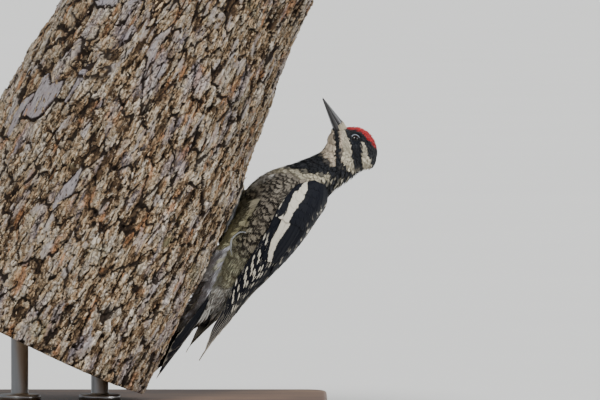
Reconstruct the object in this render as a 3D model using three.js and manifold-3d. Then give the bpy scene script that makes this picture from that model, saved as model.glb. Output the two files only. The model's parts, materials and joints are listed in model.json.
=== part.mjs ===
// An adult female yellow-bellied sapsucker, life size, clinging to a cut length of trunk
// that two short rods hold over a flat base. Millimetres, +Z up.
// The origin is the middle of the base's underside, and +X is the way the trunk leans.

import * as THREE from 'three';
import { mergeVertices } from 'three/addons/utils/BufferGeometryUtils.js';
import Module from 'manifold-3d';

const wasm = await Module();
wasm.setup();

const radians = THREE.MathUtils.degToRad;

// ---- Driving dimensions -------------------------------------------------------------

const GAP = 0.3; // clearance where one piece sits against another
const FACET_ROOM = 0.25; // extra, where two curved faces are each cut into flats

const BASE = { length: 250, depth: 190, thickness: 18, corner: 14, bevel: 2 };
const ROD = { radius: 5, flangeRadius: 12, flangeHeight: 3, grip: 16, chamfer: 1 };
const ROD_PLACES = [-52, -6]; // where the rods stand along X

const TRUNK_LEAN = radians(26); // from upright, towards +X
const TRUNK_FOOT = { x: -46.2, z: 53.3 }; // the middle of the lower sawn end
const TRUNK_LENGTH = 252;
const TRUNK_RADIUS = 74;
const TRUNK_TAPER = { loss: 9, from: 110, to: 235 }; // the upper trunk is slimmer
const CLING_ANGLE = radians(22); // the bird sits this far round the trunk, to its back

// In the bird's own frame x is the distance out from the bark, y runs up the trunk and
// z is to the bird's left. The spine gives its course and the girth of the plumage.
const SPINE = [
  { y: 46, x: 13.2, radius: 3.4 }, // tail root
  { y: 58, x: 17.0, radius: 7.2 },
  { y: 71, x: 20.6, radius: 11.0 }, // rump
  { y: 85, x: 23.4, radius: 14.8 },
  { y: 100, x: 25.4, radius: 18.0 }, // belly
  { y: 115, x: 27.2, radius: 20.6 },
  { y: 129, x: 29.4, radius: 21.4 }, // breast
  { y: 146, x: 38.6, radius: 15.6 }, // shoulders
  { y: 160, x: 46.4, radius: 11.4 }, // neck
  { y: 169, x: 51.6, radius: 11.2 },
  { y: 177, x: 55.4, radius: 9.6 },
];
const BODY_WIDTH = 0.95; // width of the body against its depth
const BLEND = 3.2; // how softly the head's masses run together

// The head has its own axes: f forward along the bill, u up, from the culmen's root.
const CULMEN_ROOT = { y: 189.5, x: 43.1 };
const BILL_ANGLE = radians(-57.3); // of the bill, from the trunk's line towards the bark
const BILL = { length: 20.2, droop: 3.5, depth: 7.2, halfWidth: 3.3, split: 3.9, root: 3 };
const EYE = { f: -10.2, u: -0.4, side: 5.75, radius: 3.1 };

const WING = { thickness: 1.7, tipThickness: 0.8 };
const QUILL_RADIUS = { left: 12.4, right: 6.8 }; // the right wing tip lies closer to the tail
const RECTRIX = { width: 8.4, thickness: 0.9, pairs: 5 };

const HEAD_STEP = 2.4; // sampling of the plumage's surface
const BODY_STEP = 4;
const THIGH_STEP = 2.9;

// ---- Frames -------------------------------------------------------------------------

const up = new THREE.Vector3(Math.sin(TRUNK_LEAN), 0, Math.cos(TRUNK_LEAN));
const underside = new THREE.Vector3(Math.cos(TRUNK_LEAN), 0, -Math.sin(TRUNK_LEAN));
const out = underside.clone().multiplyScalar(Math.cos(CLING_ANGLE));
out.y = Math.sin(CLING_ANGLE);
const left = out.clone().cross(up);
const barkOrigin = new THREE.Vector3(TRUNK_FOOT.x, 0, TRUNK_FOOT.z).addScaledVector(out, TRUNK_RADIUS);

const birdFrame = new THREE.Matrix4().makeBasis(out, up, left).setPosition(barkOrigin);
const worldToBird = birdFrame.clone().invert();

const forward = new THREE.Vector3(Math.sin(BILL_ANGLE), Math.cos(BILL_ANGLE), 0);
const crownward = new THREE.Vector3(forward.y, -forward.x, 0);

// A point of the head, from its places forward of the root, above it and to the left.
function headPoint(f, u, side) {
  return new THREE.Vector3(CULMEN_ROOT.x, CULMEN_ROOT.y, side)
    .addScaledVector(forward, f)
    .addScaledVector(crownward, u);
}

// ---- Solids -------------------------------------------------------------------------

function toSolid(geometry) {
  const bare = geometry.clone();
  bare.deleteAttribute('normal');
  bare.deleteAttribute('uv');
  const merged = mergeVertices(bare, 1e-4);
  return new wasm.Manifold(
    new wasm.Mesh({
      numProp: 3,
      vertProperties: new Float32Array(merged.attributes.position.array),
      triVerts: new Uint32Array(merged.index.array),
    }),
  );
}

function toGeometry(solid) {
  const mesh = solid.getMesh();
  const geometry = new THREE.BufferGeometry();
  geometry.setAttribute('position', new THREE.BufferAttribute(mesh.vertProperties, 3));
  geometry.setIndex(new THREE.BufferAttribute(mesh.triVerts, 1));
  geometry.computeVertexNormals();
  return geometry;
}

// Turns every face round where a closed shape's faces point inwards.
function facingOut(geometry) {
  const [a, b, c] = [0, 1, 2].map(() => new THREE.Vector3());
  const { position } = geometry.attributes;
  const corners = geometry.index.array;
  let volume = 0;
  for (let i = 0; i < corners.length; i += 3) {
    a.fromBufferAttribute(position, corners[i]);
    b.fromBufferAttribute(position, corners[i + 1]);
    c.fromBufferAttribute(position, corners[i + 2]);
    volume += a.dot(b.cross(c));
  }
  if (volume < 0) geometry.setIndex(Array.from(corners).reverse());
  return geometry;
}

// A closed geometry from rings of points, each ring turning the same way, with flat ends.
function loft(rings) {
  const sides = rings[0].length;
  const positions = rings.flat().flatMap((point) => point.toArray());
  const triangles = [];
  for (let ring = 0; ring + 1 < rings.length; ring += 1) {
    for (let side = 0; side < sides; side += 1) {
      const here = ring * sides + side;
      const next = ring * sides + ((side + 1) % sides);
      triangles.push(here, next, next + sides, here, next + sides, here + sides);
    }
  }
  for (const [ring, inward] of [[0, true], [rings.length - 1, false]]) {
    const centre = rings[ring].reduce((sum, point) => sum.add(point), new THREE.Vector3());
    const hub = positions.length / 3;
    positions.push(...centre.divideScalar(sides).toArray());
    for (let side = 0; side < sides; side += 1) {
      const here = ring * sides + side;
      const next = ring * sides + ((side + 1) % sides);
      triangles.push(...(inward ? [hub, next, here] : [hub, here, next]));
    }
  }
  const geometry = new THREE.BufferGeometry();
  geometry.setAttribute('position', new THREE.Float32BufferAttribute(positions, 3));
  geometry.setIndex(triangles);
  return facingOut(geometry);
}

// A tapering round limb along a smooth curve through the points.
function limb(points, radii, sides = 5, rings = 5) {
  const curve = new THREE.CatmullRomCurve3(points);
  const frames = curve.computeFrenetFrames(rings - 1);
  const sections = [];
  for (let ring = 0; ring < rings; ring += 1) {
    const t = ring / (rings - 1);
    const place = t * (radii.length - 1);
    const from = Math.min(Math.floor(place), radii.length - 2);
    const radius = THREE.MathUtils.lerp(radii[from], radii[from + 1], place - from);
    const centre = curve.getPointAt(t);
    sections.push(
      Array.from({ length: sides }, (_, side) => {
        const turn = (2 * Math.PI * side) / sides;
        return centre
          .clone()
          .addScaledVector(frames.normals[ring], radius * Math.cos(turn))
          .addScaledVector(frames.binormals[ring], radius * Math.sin(turn));
      }),
    );
  }
  return loft(sections);
}

// ---- The plumage's outer surface, as a distance field --------------------------------

const spineCurve = new THREE.CatmullRomCurve3(SPINE.map((s) => new THREE.Vector3(s.x, s.y, s.radius)));
const spineBalls = spineCurve.getPoints(90);

function softUnion(a, b, blend) {
  const h = Math.max(blend - Math.abs(a - b), 0) / blend;
  return Math.min(a, b) - (h * h * blend) / 4;
}

// Balls strung along the spine, a little narrower than deep.
function trunkField(point) {
  let nearest = Infinity;
  for (const ball of spineBalls) {
    const dx = point.x - ball.x;
    const dy = point.y - ball.y;
    const dz = point.z / BODY_WIDTH;
    nearest = Math.min(nearest, Math.sqrt(dx * dx + dy * dy + dz * dz) - ball.z);
  }
  return nearest;
}

// An ellipsoid of the head; tilt lifts its back end.
function headMass(point, { f, u, long, high, wide, tilt }) {
  const offset = point.clone().sub(headPoint(f, u, 0));
  const axis = forward.clone().applyAxisAngle(new THREE.Vector3(0, 0, 1), tilt);
  const along = offset.dot(axis);
  const above = offset.dot(new THREE.Vector3(axis.y, -axis.x, 0));
  const scaled = new THREE.Vector3(along / long, above / high, offset.z / wide);
  const steep = new THREE.Vector3(along / long ** 2, above / high ** 2, offset.z / wide ** 2);
  const k0 = scaled.length();
  return (k0 * (k0 - 1)) / Math.max(steep.length(), 1e-6);
}

const HEAD_MASSES = [
  { f: -17.7, u: -0.7, long: 12.6, high: 9.9, wide: 9.3, tilt: radians(14) }, // skull
  { f: -8.6, u: -2.4, long: 8.2, high: 5.0, wide: 5.6, tilt: radians(12) }, // face
  { f: -9.9, u: -8.6, long: 9.4, high: 7.4, wide: 8.5, tilt: radians(-30) }, // jaw, throat
];

function plumageField(point) {
  return HEAD_MASSES.reduce(
    (field, mass) => softUnion(field, headMass(point, mass), BLEND),
    trunkField(point),
  );
}

// ---- Meshing a field: one vertex in each cell that the surface crosses --------------------

const CORNERS = [0, 1, 2, 3, 4, 5, 6, 7].map((i) => [i & 1, (i >> 1) & 1, (i >> 2) & 1]);

function crossing(field, values, corner, origin, step) {
  const sum = new THREE.Vector3();
  let count = 0;
  for (let a = 0; a < 8; a += 1) {
    for (const bit of [1, 2, 4]) {
      const b = a | bit;
      if (b === a || values[a] < 0 === values[b] < 0) continue;
      const t = values[a] / (values[a] - values[b]);
      sum.add(new THREE.Vector3(...CORNERS[a]).lerp(new THREE.Vector3(...CORNERS[b]), t));
      count += 1;
    }
  }
  const point = sum.divideScalar(count).add(corner).multiplyScalar(step).add(origin);
  return settle(field, point);
}

// Moves a point onto the field's zero along its slope.
function settle(field, point) {
  const reach = 0.05;
  for (let round = 0; round < 3; round += 1) {
    const value = field(point);
    const slope = new THREE.Vector3(
      field(point.clone().setX(point.x + reach)) - value,
      field(point.clone().setY(point.y + reach)) - value,
      field(point.clone().setZ(point.z + reach)) - value,
    ).divideScalar(reach);
    point.addScaledVector(slope, -value / Math.max(slope.lengthSq(), 0.2));
  }
  return point;
}

// The field with all that lies within a step and a half of the box's walls cut away, so that
// a surface which runs out of the box is closed there.
function boxed(field, box, step) {
  const middle = box.getCenter(new THREE.Vector3());
  const half = box.getSize(new THREE.Vector3()).multiplyScalar(0.5).subScalar(1.5 * step);
  return (point) => {
    const beyond = point.clone().sub(middle).toArray().map((d, axis) => Math.abs(d) - half.toArray()[axis]);
    return Math.max(field(point), ...beyond);
  };
}

function netSurface(openField, box, step) {
  const field = boxed(openField, box, step);
  const size = box.getSize(new THREE.Vector3()).divideScalar(step).ceil();
  const [nx, ny, nz] = size.toArray().map((cells) => cells + 1);
  const index = (i, j, k) => i + nx * (j + ny * k);
  const values = new Float64Array(nx * ny * nz);
  for (let k = 0; k < nz; k += 1) {
    for (let j = 0; j < ny; j += 1) {
      for (let i = 0; i < nx; i += 1) {
        values[index(i, j, k)] = field(
          new THREE.Vector3(i, j, k).multiplyScalar(step).add(box.min),
        );
      }
    }
  }
  const vertices = new Map();
  const positions = [];
  for (let k = 0; k + 1 < nz; k += 1) {
    for (let j = 0; j + 1 < ny; j += 1) {
      for (let i = 0; i + 1 < nx; i += 1) {
        const cell = CORNERS.map(([a, b, c]) => values[index(i + a, j + b, k + c)]);
        const inside = cell.filter((value) => value < 0).length;
        if (inside === 0 || inside === 8) continue;
        vertices.set(index(i, j, k), positions.length / 3);
        positions.push(...crossing(field, cell, new THREE.Vector3(i, j, k), box.min, step).toArray());
      }
    }
  }
  const triangles = [];
  const strides = [1, nx, nx * ny];
  for (let k = 1; k + 1 < nz; k += 1) {
    for (let j = 1; j + 1 < ny; j += 1) {
      for (let i = 1; i + 1 < nx; i += 1) {
        const here = index(i, j, k);
        for (let axis = 0; axis < 3; axis += 1) {
          const inside = values[here] < 0;
          if (inside === values[here + strides[axis]] < 0) continue;
          const u = strides[(axis + 1) % 3];
          const v = strides[(axis + 2) % 3];
          const [a, b, c, d] = [here - u - v, here - v, here, here - u].map((cell) => vertices.get(cell));
          triangles.push(...(inside ? [a, b, c, a, c, d] : [a, c, b, a, d, c]));
        }
      }
    }
  }
  const geometry = new THREE.BufferGeometry();
  geometry.setAttribute('position', new THREE.Float32BufferAttribute(positions, 3));
  geometry.setIndex(triangles);
  return geometry;
}

// ---- The bark under the bird -----------------------------------------------------------

function trunkRadius(y, angle) {
  const { loss, from, to } = TRUNK_TAPER;
  const waist = 2 * (1 - THREE.MathUtils.smoothstep(y, 0, 70));
  const taper = waist + loss * THREE.MathUtils.smoothstep(y, from, to);
  const away = 1 - Math.exp(-((angle / 0.6) ** 2)); // the bark is plain under the bird
  const lumps = 1.3 * Math.sin(3 * angle + 0.021 * y) + 0.9 * Math.sin(5 * angle - 0.034 * y);
  return TRUNK_RADIUS - taper + away * lumps;
}

// A point at a height over the bark, from its place up the trunk and to the bird's left.
function onBark(y, z, height) {
  const angle = Math.asin(z / TRUNK_RADIUS);
  const radius = trunkRadius(y, angle) + height;
  return new THREE.Vector3(radius * Math.cos(angle) - TRUNK_RADIUS, y, radius * Math.sin(angle));
}

// The cut length of trunk, as rings round its axis from the lower sawn end to the upper.
function trunkRings() {
  const sides = 33;
  const rings = 11;
  return Array.from({ length: rings }, (_, ring) => {
    const y = (TRUNK_LENGTH * ring) / (rings - 1);
    return Array.from({ length: sides }, (_, side) => {
      const angle = (-2 * Math.PI * side) / sides;
      const radius = trunkRadius(y, Math.atan2(Math.sin(angle), Math.cos(angle)));
      return new THREE.Vector3(radius * Math.cos(angle) - TRUNK_RADIUS, y, radius * Math.sin(angle));
    });
  });
}

// ---- Wings ------------------------------------------------------------------------------

// The folded wing's edges, as angles round the body from the back's midline.
const WING_EDGES = [
  { y: 153.5, upper: 96, lower: 112 }, // the bend
  { y: 149, upper: 70, lower: 118 },
  { y: 140, upper: 44, lower: 114 },
  { y: 127, upper: 20, lower: 103 },
  { y: 112, upper: 10, lower: 98 },
  { y: 97, upper: 9, lower: 97 },
  { y: 82, upper: 11, lower: 96 },
  { y: 67, upper: 18, lower: 94 },
  { y: 53, upper: 27, lower: 86 },
  { y: 40, upper: 35, lower: 66 },
  { y: 29.2, upper: 44, lower: 47 }, // the tips of the primaries
];

const centreLine = new THREE.SplineCurve([
  new THREE.Vector2(20, 11),
  ...SPINE.map((s) => new THREE.Vector2(s.y, s.x)),
]).getPoints(160);

function bodyCentre(y) {
  const next = Math.max(1, centreLine.findIndex((point) => point.x >= y));
  const [a, b] = [centreLine[next - 1], centreLine[next]];
  return THREE.MathUtils.mapLinear(y, a.x, b.x, a.y, b.y);
}

// The plumage's reach from the centre line, in the plane across the trunk at y.
function bodyReach(y, angle) {
  const centre = bodyCentre(y);
  const ray = (distance) =>
    new THREE.Vector3(centre + distance * Math.cos(angle), y, distance * Math.sin(angle));
  let [low, high] = [0, 40];
  for (let round = 0; round < 22; round += 1) {
    const middle = (low + high) / 2;
    if (trunkField(ray(middle)) < 0) low = middle;
    else high = middle;
  }
  return low;
}

// One wing: a shell on the body's side that runs on as the closed quills.
function wing(side) {
  const quillRadius = side > 0 ? QUILL_RADIUS.left : QUILL_RADIUS.right;
  const across = 6;
  const edges = new THREE.CatmullRomCurve3(WING_EDGES.map((e) => new THREE.Vector3(e.y, e.upper, e.lower)));
  const stations = edges.getPoints(17);
  const rings = stations.map(({ x: y, y: upper, z: lower }) => {
    const centre = bodyCentre(y);
    const along = THREE.MathUtils.clamp((y - 30) / 100, 0, 1);
    const full = THREE.MathUtils.lerp(WING.tipThickness, WING.thickness, along);
    const point = (t, depth) => {
      const angle = radians(THREE.MathUtils.lerp(upper, lower, t));
      const reach = Math.max(bodyReach(y, angle) + GAP + FACET_ROOM, quillRadius) + depth;
      return new THREE.Vector3(centre + reach * Math.cos(angle), y, side * reach * Math.sin(angle));
    };
    const outer = [];
    const inner = [];
    for (let i = 0; i <= across; i += 1) {
      const t = i / across;
      const crown = Math.sqrt(1 - (2 * t - 1) ** 2 * 0.85);
      outer.push(point(t, full * crown));
      inner.push(point(t, 0));
    }
    return [...outer, ...inner.reverse()];
  });
  return toSolid(loft(rings));
}

// ---- Tail --------------------------------------------------------------------------------

// Stiff pointed feathers in a fan, the middle pair longest and pressed on the bark.
function tail() {
  const blades = [];
  for (let pair = 0; pair < RECTRIX.pairs; pair += 1) {
    for (const side of [-1, 1]) {
      const root = new THREE.Vector3(14.6 - 0.25 * pair, 55, side * (1.2 + 1.1 * pair));
      const middle = new THREE.Vector3(9 + 0.3 * pair, 32 + pair, side * (2.9 + 2.2 * pair));
      const tip = new THREE.Vector3(1.6 + 0.9 * pair, 8.6 + 1.2 * pair ** 1.9, side * (4.4 + 2.6 * pair));
      blades.push(toSolid(blade([root, middle, tip], side)));
    }
  }
  return blades.reduce((sum, solid) => sum.add(solid));
}

function blade(points, side) {
  const curve = new THREE.QuadraticBezierCurve3(
    points[0],
    points[1].clone().multiplyScalar(2).sub(points[0].clone().add(points[2]).multiplyScalar(0.5)),
    points[2],
  );
  const shape = [[0, 0.5], [0.45, 1], [0.8, 0.85], [1, 0.07]]; // along, and across
  const across = new THREE.Vector3(-0.3, 0, side).normalize().multiplyScalar(side);
  const rings = shape.map(([t, width]) => {
    const centre = curve.getPoint(t);
    const thick = curve.getTangent(t).cross(across).normalize();
    const half = (RECTRIX.width / 2) * width;
    const depth = (RECTRIX.thickness / 2) * Math.max(width, 0.3);
    return [
      centre.clone().addScaledVector(across, half),
      centre.clone().addScaledVector(thick, depth),
      centre.clone().addScaledVector(across, -half),
      centre.clone().addScaledVector(thick, -depth),
    ];
  });
  return loft(rings);
}

// ---- Bill and eyes --------------------------------------------------------------------------

// Half a bill, from the cutting edge to a ridge over or under it.
function billHalf(isUpper) {
  const rings = [];
  for (const t of [-BILL.root / BILL.length, 0.18, 0.45, 0.72, 0.92, 1]) {
    const taper = Math.max(1 - Math.max(t, 0) ** 1.25, 0.06);
    const f = t * BILL.length - (isUpper ? 0 : 0.5);
    const ridge = isUpper ? -BILL.droop * t : -BILL.depth + (BILL.depth - BILL.droop) * t;
    const edge = THREE.MathUtils.lerp(-BILL.split, -BILL.droop - 0.1, t) + (isUpper ? GAP : -GAP) / 2;
    const tip = isUpper ? Math.max(ridge, edge + 0.35) : Math.min(ridge, edge - 0.3);
    const half = BILL.halfWidth * (isUpper ? 1 : 0.94) * taper;
    const shoulder = THREE.MathUtils.lerp(edge, tip, 0.72);
    rings.push([
      headPoint(f, edge, half),
      headPoint(f, edge, -half),
      headPoint(f, shoulder, -half * 0.62),
      headPoint(f, tip, -half * 0.16),
      headPoint(f, tip, half * 0.16),
      headPoint(f, shoulder, half * 0.62),
    ]);
  }
  return toSolid(loft(rings));
}

function eyeCentre(side) {
  return headPoint(EYE.f, EYE.u, side * EYE.side);
}

function ball(centre, radius) {
  return new THREE.SphereGeometry(radius, 13, 8).translate(centre.x, centre.y, centre.z);
}

// ---- Legs -------------------------------------------------------------------------------------

const HEEL = { x: 5.4, y: 96.5, z: 7.4 };
const SOLE = { y: 115, z: 9.4, height: 2.3 };
const TOES = [
  // each toe's joints, up the trunk and outward from the sole, its radius, and its claw's lie
  { name: 1, joints: [[-3.2, -1.4], [-6.4, -3.2]], radius: 0.95, claw: [-4.6, -1.2] },
  { name: 2, joints: [[4.6, -1.8], [9.6, -3.4]], radius: 1.1, claw: [5.6, -0.8] },
  { name: 3, joints: [[6.2, 0.7], [13.6, 1.8]], radius: 1.15, claw: [6, 0.6] },
  { name: 4, joints: [[-1.8, 3.6], [-7.2, 5.4]], radius: 1.1, claw: [-5, 1.4] },
];

function toePoint(side, [dy, dz], height) {
  return onBark(SOLE.y + dy, side * (SOLE.z + dz), height);
}

// The bare shank and its four toes, two up the trunk and two down.
function foot(side) {
  const sole = toePoint(side, [0, 0], SOLE.height);
  const heel = new THREE.Vector3(HEEL.x, HEEL.y, side * HEEL.z);
  const shank = toSolid(limb([heel, heel.clone().lerp(sole, 0.5), sole], [1.7, 1.15, 1.25, 1.6], 7));
  return TOES.reduce((solid, toe) => {
    const start = sole.clone().lerp(heel, 0.04);
    const ends = [start, toePoint(side, toe.joints[0], 1.75), toePoint(side, toe.joints[1], 1.5)];
    return solid.add(toSolid(limb(ends, [toe.radius * 1.15, toe.radius, toe.radius * 0.9])));
  }, shank);
}

// A hooked claw that grows from the toe's end and comes down to the bark.
function claw(side, toe) {
  const [dy, dz] = toe.joints[1];
  const [cy, cz] = toe.claw;
  const reach = (part) => [dy + cy * part, dz + cz * part];
  const start = toePoint(side, reach(0.08), 1.5);
  const bow = toePoint(side, reach(0.55), 1.9);
  const tip = toePoint(side, reach(1), 0.5);
  return limb([start, bow, tip], [0.7, 0.55, 0.14], 5, 6);
}

function thigh(side) {
  const top = new THREE.Vector3(19, 109, side * 9.6);
  const heel = new THREE.Vector3(HEEL.x + 0.9, HEEL.y + 0.6, side * HEEL.z);
  const field = (point) => {
    const t = THREE.MathUtils.clamp(
      point.clone().sub(top).dot(heel.clone().sub(top)) / heel.distanceToSquared(top),
      0,
      1,
    );
    return point.distanceTo(top.clone().lerp(heel, t)) - THREE.MathUtils.lerp(6.6, 2.7, t);
  };
  const box = new THREE.Box3().setFromPoints([top, heel]).expandByScalar(9);
  return toSolid(netSurface(field, box, THIGH_STEP));
}

// ---- Stand ---------------------------------------------------------------------------------------

function basePlate() {
  const { length, depth, thickness, corner, bevel } = BASE;
  const [halfX, halfY] = [length / 2 - bevel, depth / 2 - bevel];
  const outline = new THREE.Shape();
  for (const [index, [sx, sy]] of [[1, 1], [-1, 1], [-1, -1], [1, -1]].entries()) {
    outline.absarc(
      sx * (halfX - corner),
      sy * (halfY - corner),
      corner,
      (index * Math.PI) / 2,
      ((index + 1) * Math.PI) / 2,
    );
  }
  const plate = new THREE.ExtrudeGeometry(outline, {
    depth: thickness - 2 * bevel,
    bevelThickness: bevel,
    bevelSize: bevel,
    bevelSegments: 1,
    curveSegments: 3,
  });
  return plate.translate(0, 0, bevel);
}

// How high the lower sawn end stands over a place along X.
function sawnEndHeight(x) {
  return TRUNK_FOOT.z - (x - TRUNK_FOOT.x) * Math.tan(TRUNK_LEAN);
}

// A rod with a round foot on the base, and its top in a bore of the trunk.
function rod(x) {
  const { radius, flangeRadius, flangeHeight, grip, chamfer } = ROD;
  const bottom = BASE.thickness;
  const top = sawnEndHeight(x) + grip;
  const profile = [
    [0, bottom],
    [flangeRadius, bottom],
    [flangeRadius, bottom + flangeHeight - chamfer],
    [flangeRadius - chamfer, bottom + flangeHeight],
    [radius, bottom + flangeHeight],
    [radius, top - chamfer],
    [radius - chamfer, top],
    [0, top],
  ];
  const lathe = new THREE.LatheGeometry(profile.map(([r, z]) => new THREE.Vector2(r, z)), 12);
  return lathe.rotateX(Math.PI / 2).translate(x, 0, 0);
}

function rodBore(x) {
  const bottom = BASE.thickness;
  const top = sawnEndHeight(x) + ROD.grip + GAP;
  return new THREE.CylinderGeometry(ROD.radius + GAP, ROD.radius + GAP, top - bottom, 12)
    .rotateX(Math.PI / 2)
    .translate(x, 0, (top + bottom) / 2);
}

// ---- Parting the body ------------------------------------------------------------------------------

// The body is divided across these planes, given by a point and the way towards the head.
const HEAD_CUT = { x: 52, y: 171, way: [0.3, 0.954] };
const NECK_CUT = { x: 41, y: 154, way: [0.57, 0.82] };
const RUMP_CUT = { x: 20.6, y: 74, way: [0.17, 0.985] };

// Keeps what lies on the head's side of a cut, or with towards -1 on the tail's side.
function keep(solid, cut, towards) {
  const way = new THREE.Vector3(...cut.way, 0).normalize();
  const place = way.dot(new THREE.Vector3(cut.x, cut.y, 0));
  const offset = towards * place + GAP / 2;
  return solid.trimByPlane(way.multiplyScalar(towards).toArray(), offset);
}

// What is sampled for each mesh: out from the bark, up the trunk and to both sides.
function samplingBox([x0, x1], [y0, y1], half) {
  return new THREE.Box3(new THREE.Vector3(x0, y0, -half), new THREE.Vector3(x1, y1, half));
}

const BODY_BOX = samplingBox([-2, 80], [32, 210], 33);
const BELLY_BOX = samplingBox([-2, 80], [32, 150], 33);
const HEAD_BOX = samplingBox([18, 84], [150, 207], 21);

function bodyPieces() {
  const coarse = toSolid(netSurface(plumageField, BODY_BOX, BODY_STEP));
  const fine = toSolid(netSurface(plumageField, HEAD_BOX, HEAD_STEP));
  const sockets = [-1, 1].map((side) => toSolid(ball(eyeCentre(side), EYE.radius + GAP)));
  const cutters = [...sockets, billSocket()];
  return {
    head: cutters.reduce((solid, cutter) => solid.subtract(cutter), keep(fine, HEAD_CUT, 1)),
    neck: keep(keep(coarse, HEAD_CUT, -1), NECK_CUT, 1),
    torso: keep(keep(coarse, NECK_CUT, -1), RUMP_CUT, 1),
    rump: keep(coarse, RUMP_CUT, -1).subtract(tailSlot()),
  };
}

// The room in the head for the bill's roots.
function billSocket() {
  const room = 3 * GAP;
  const half = BILL.halfWidth + GAP;
  const outline = [[room, 0.6], [-BILL.split, 1], [-BILL.depth - room, 0.6]];
  const section = (f) => [
    ...outline.map(([u, width]) => headPoint(f, u, half * width)),
    ...outline.toReversed().map(([u, width]) => headPoint(f, u, -half * width)),
  ];
  return toSolid(loft([section(-BILL.root - room), section(6)]));
}

// The slot between the upper and the lower tail coverts, for the roots of the tail feathers.
function tailSlot() {
  const half = 9;
  const section = ({ y, x, open }) =>
    [[open, half], [open, -half], [-open, -half], [-open, half]].map(
      ([dx, z]) => new THREE.Vector3(x + dx, y, z),
    );
  return toSolid(loft([section({ y: 57, x: 14.4, open: 1.6 }), section({ y: 36, x: 9.6, open: 2.2 })]));
}

// ---- Assembly ------------------------------------------------------------------------------------------

const FINISH = {
  black: { color: 0x15171c, roughness: 0.7, metalness: 0 },
  mottled: { color: 0x8d836b, roughness: 0.85, metalness: 0 },
  striped: { color: 0x2b2724, roughness: 0.75, metalness: 0 },
  horn: { color: 0x43434a, roughness: 0.4, metalness: 0 },
  eye: { color: 0x120a08, roughness: 0.06, metalness: 0 },
  shank: { color: 0x6a6f6c, roughness: 0.6, metalness: 0 },
  bark: { color: 0x7d6753, roughness: 0.95, metalness: 0 },
  base: { color: 0x3b2a20, roughness: 0.45, metalness: 0 },
  steel: { color: 0xb4b7ba, roughness: 0.3, metalness: 1 },
};

const part = new THREE.Group();
const leaning = new THREE.Group();
leaning.applyMatrix4(birdFrame);
part.add(leaning);

function addPiece(group, name, geometry, finish) {
  const mesh = new THREE.Mesh(geometry, new THREE.MeshStandardMaterial(FINISH[finish]));
  mesh.name = name;
  group.add(mesh);
}

const pieces = bodyPieces();
const bellyRoom = toSolid(netSurface((point) => plumageField(point) - 0.5, BELLY_BOX, BODY_STEP));

addPiece(leaning, 'head', toGeometry(pieces.head), 'striped');
addPiece(leaning, 'neck', toGeometry(pieces.neck), 'striped');
addPiece(leaning, 'torso', toGeometry(pieces.torso), 'mottled');
addPiece(leaning, 'rump', toGeometry(pieces.rump), 'mottled');
addPiece(leaning, 'tail', toGeometry(tail()), 'black');
addPiece(leaning, 'bill_upper', toGeometry(billHalf(true)), 'horn');
addPiece(leaning, 'bill_lower', toGeometry(billHalf(false)), 'horn');

for (const [name, side] of [['left', 1], ['right', -1]]) {
  addPiece(leaning, `wing_${name}`, toGeometry(wing(side)), 'black');
  addPiece(leaning, `eye_${name}`, ball(eyeCentre(side), EYE.radius), 'eye');
  const shank = foot(side);
  addPiece(leaning, `thigh_${name}`, toGeometry(thigh(side).subtract(bellyRoom).subtract(shank)), 'mottled');
  addPiece(leaning, `foot_${name}`, toGeometry(shank), 'shank');
  for (const toe of TOES) {
    addPiece(leaning, `claw_${name}_${toe.name}`, claw(side, toe), 'horn');
  }
}

const bores = ROD_PLACES.map((x) => toSolid(rodBore(x).applyMatrix4(worldToBird)));
const trunk = bores.reduce((solid, bore) => solid.subtract(bore), toSolid(loft(trunkRings())));
addPiece(leaning, 'trunk_perch', toGeometry(trunk), 'bark');

addPiece(part, 'stand_base', basePlate(), 'base');
ROD_PLACES.forEach((x, index) => addPiece(part, `stand_rod_${index + 1}`, rod(x), 'steel'));

export default part;
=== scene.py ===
"""Dresses a life-size sapsucker, the trunk it clings to and its stand.

Sizes are millimetres in the bird's own frame unless a name says otherwise: x runs out
from the bark, y up the trunk and z to the bird's left.
"""

import json
import logging
import math
from collections.abc import Callable
from dataclasses import dataclass, field
from enum import Enum

import bpy
import numpy as np
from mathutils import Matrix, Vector
from mathutils.bvhtree import BVHTree
from mathutils.kdtree import KDTree

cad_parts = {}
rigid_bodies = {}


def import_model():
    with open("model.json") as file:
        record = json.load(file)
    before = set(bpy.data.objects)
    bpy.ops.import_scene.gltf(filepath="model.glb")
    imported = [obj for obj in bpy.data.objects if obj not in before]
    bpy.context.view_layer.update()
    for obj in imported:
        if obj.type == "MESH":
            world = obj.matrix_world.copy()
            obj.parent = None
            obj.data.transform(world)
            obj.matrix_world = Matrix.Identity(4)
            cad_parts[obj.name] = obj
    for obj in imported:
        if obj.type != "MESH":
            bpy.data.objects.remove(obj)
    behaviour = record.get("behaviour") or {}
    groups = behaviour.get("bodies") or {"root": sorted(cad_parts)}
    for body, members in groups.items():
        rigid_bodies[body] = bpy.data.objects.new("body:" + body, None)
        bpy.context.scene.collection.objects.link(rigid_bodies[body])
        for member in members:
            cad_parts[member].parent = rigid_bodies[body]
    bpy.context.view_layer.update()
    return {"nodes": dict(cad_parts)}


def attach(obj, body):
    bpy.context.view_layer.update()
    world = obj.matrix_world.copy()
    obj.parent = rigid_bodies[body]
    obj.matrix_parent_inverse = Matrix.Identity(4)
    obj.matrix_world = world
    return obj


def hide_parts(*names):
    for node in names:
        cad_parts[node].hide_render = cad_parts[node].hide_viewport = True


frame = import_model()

SEED = 41
Array = np.ndarray
Material = bpy.types.Material
Node = bpy.types.Node
Object = bpy.types.Object
Socket = bpy.types.NodeSocket
Colour = Triple = tuple[float, float, float]

logging.basicConfig(level=logging.INFO, format="%(message)s")
log = logging.getLogger("sapsucker")


# ---- Frames, noise and small sums ---------------------------------------------------


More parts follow.
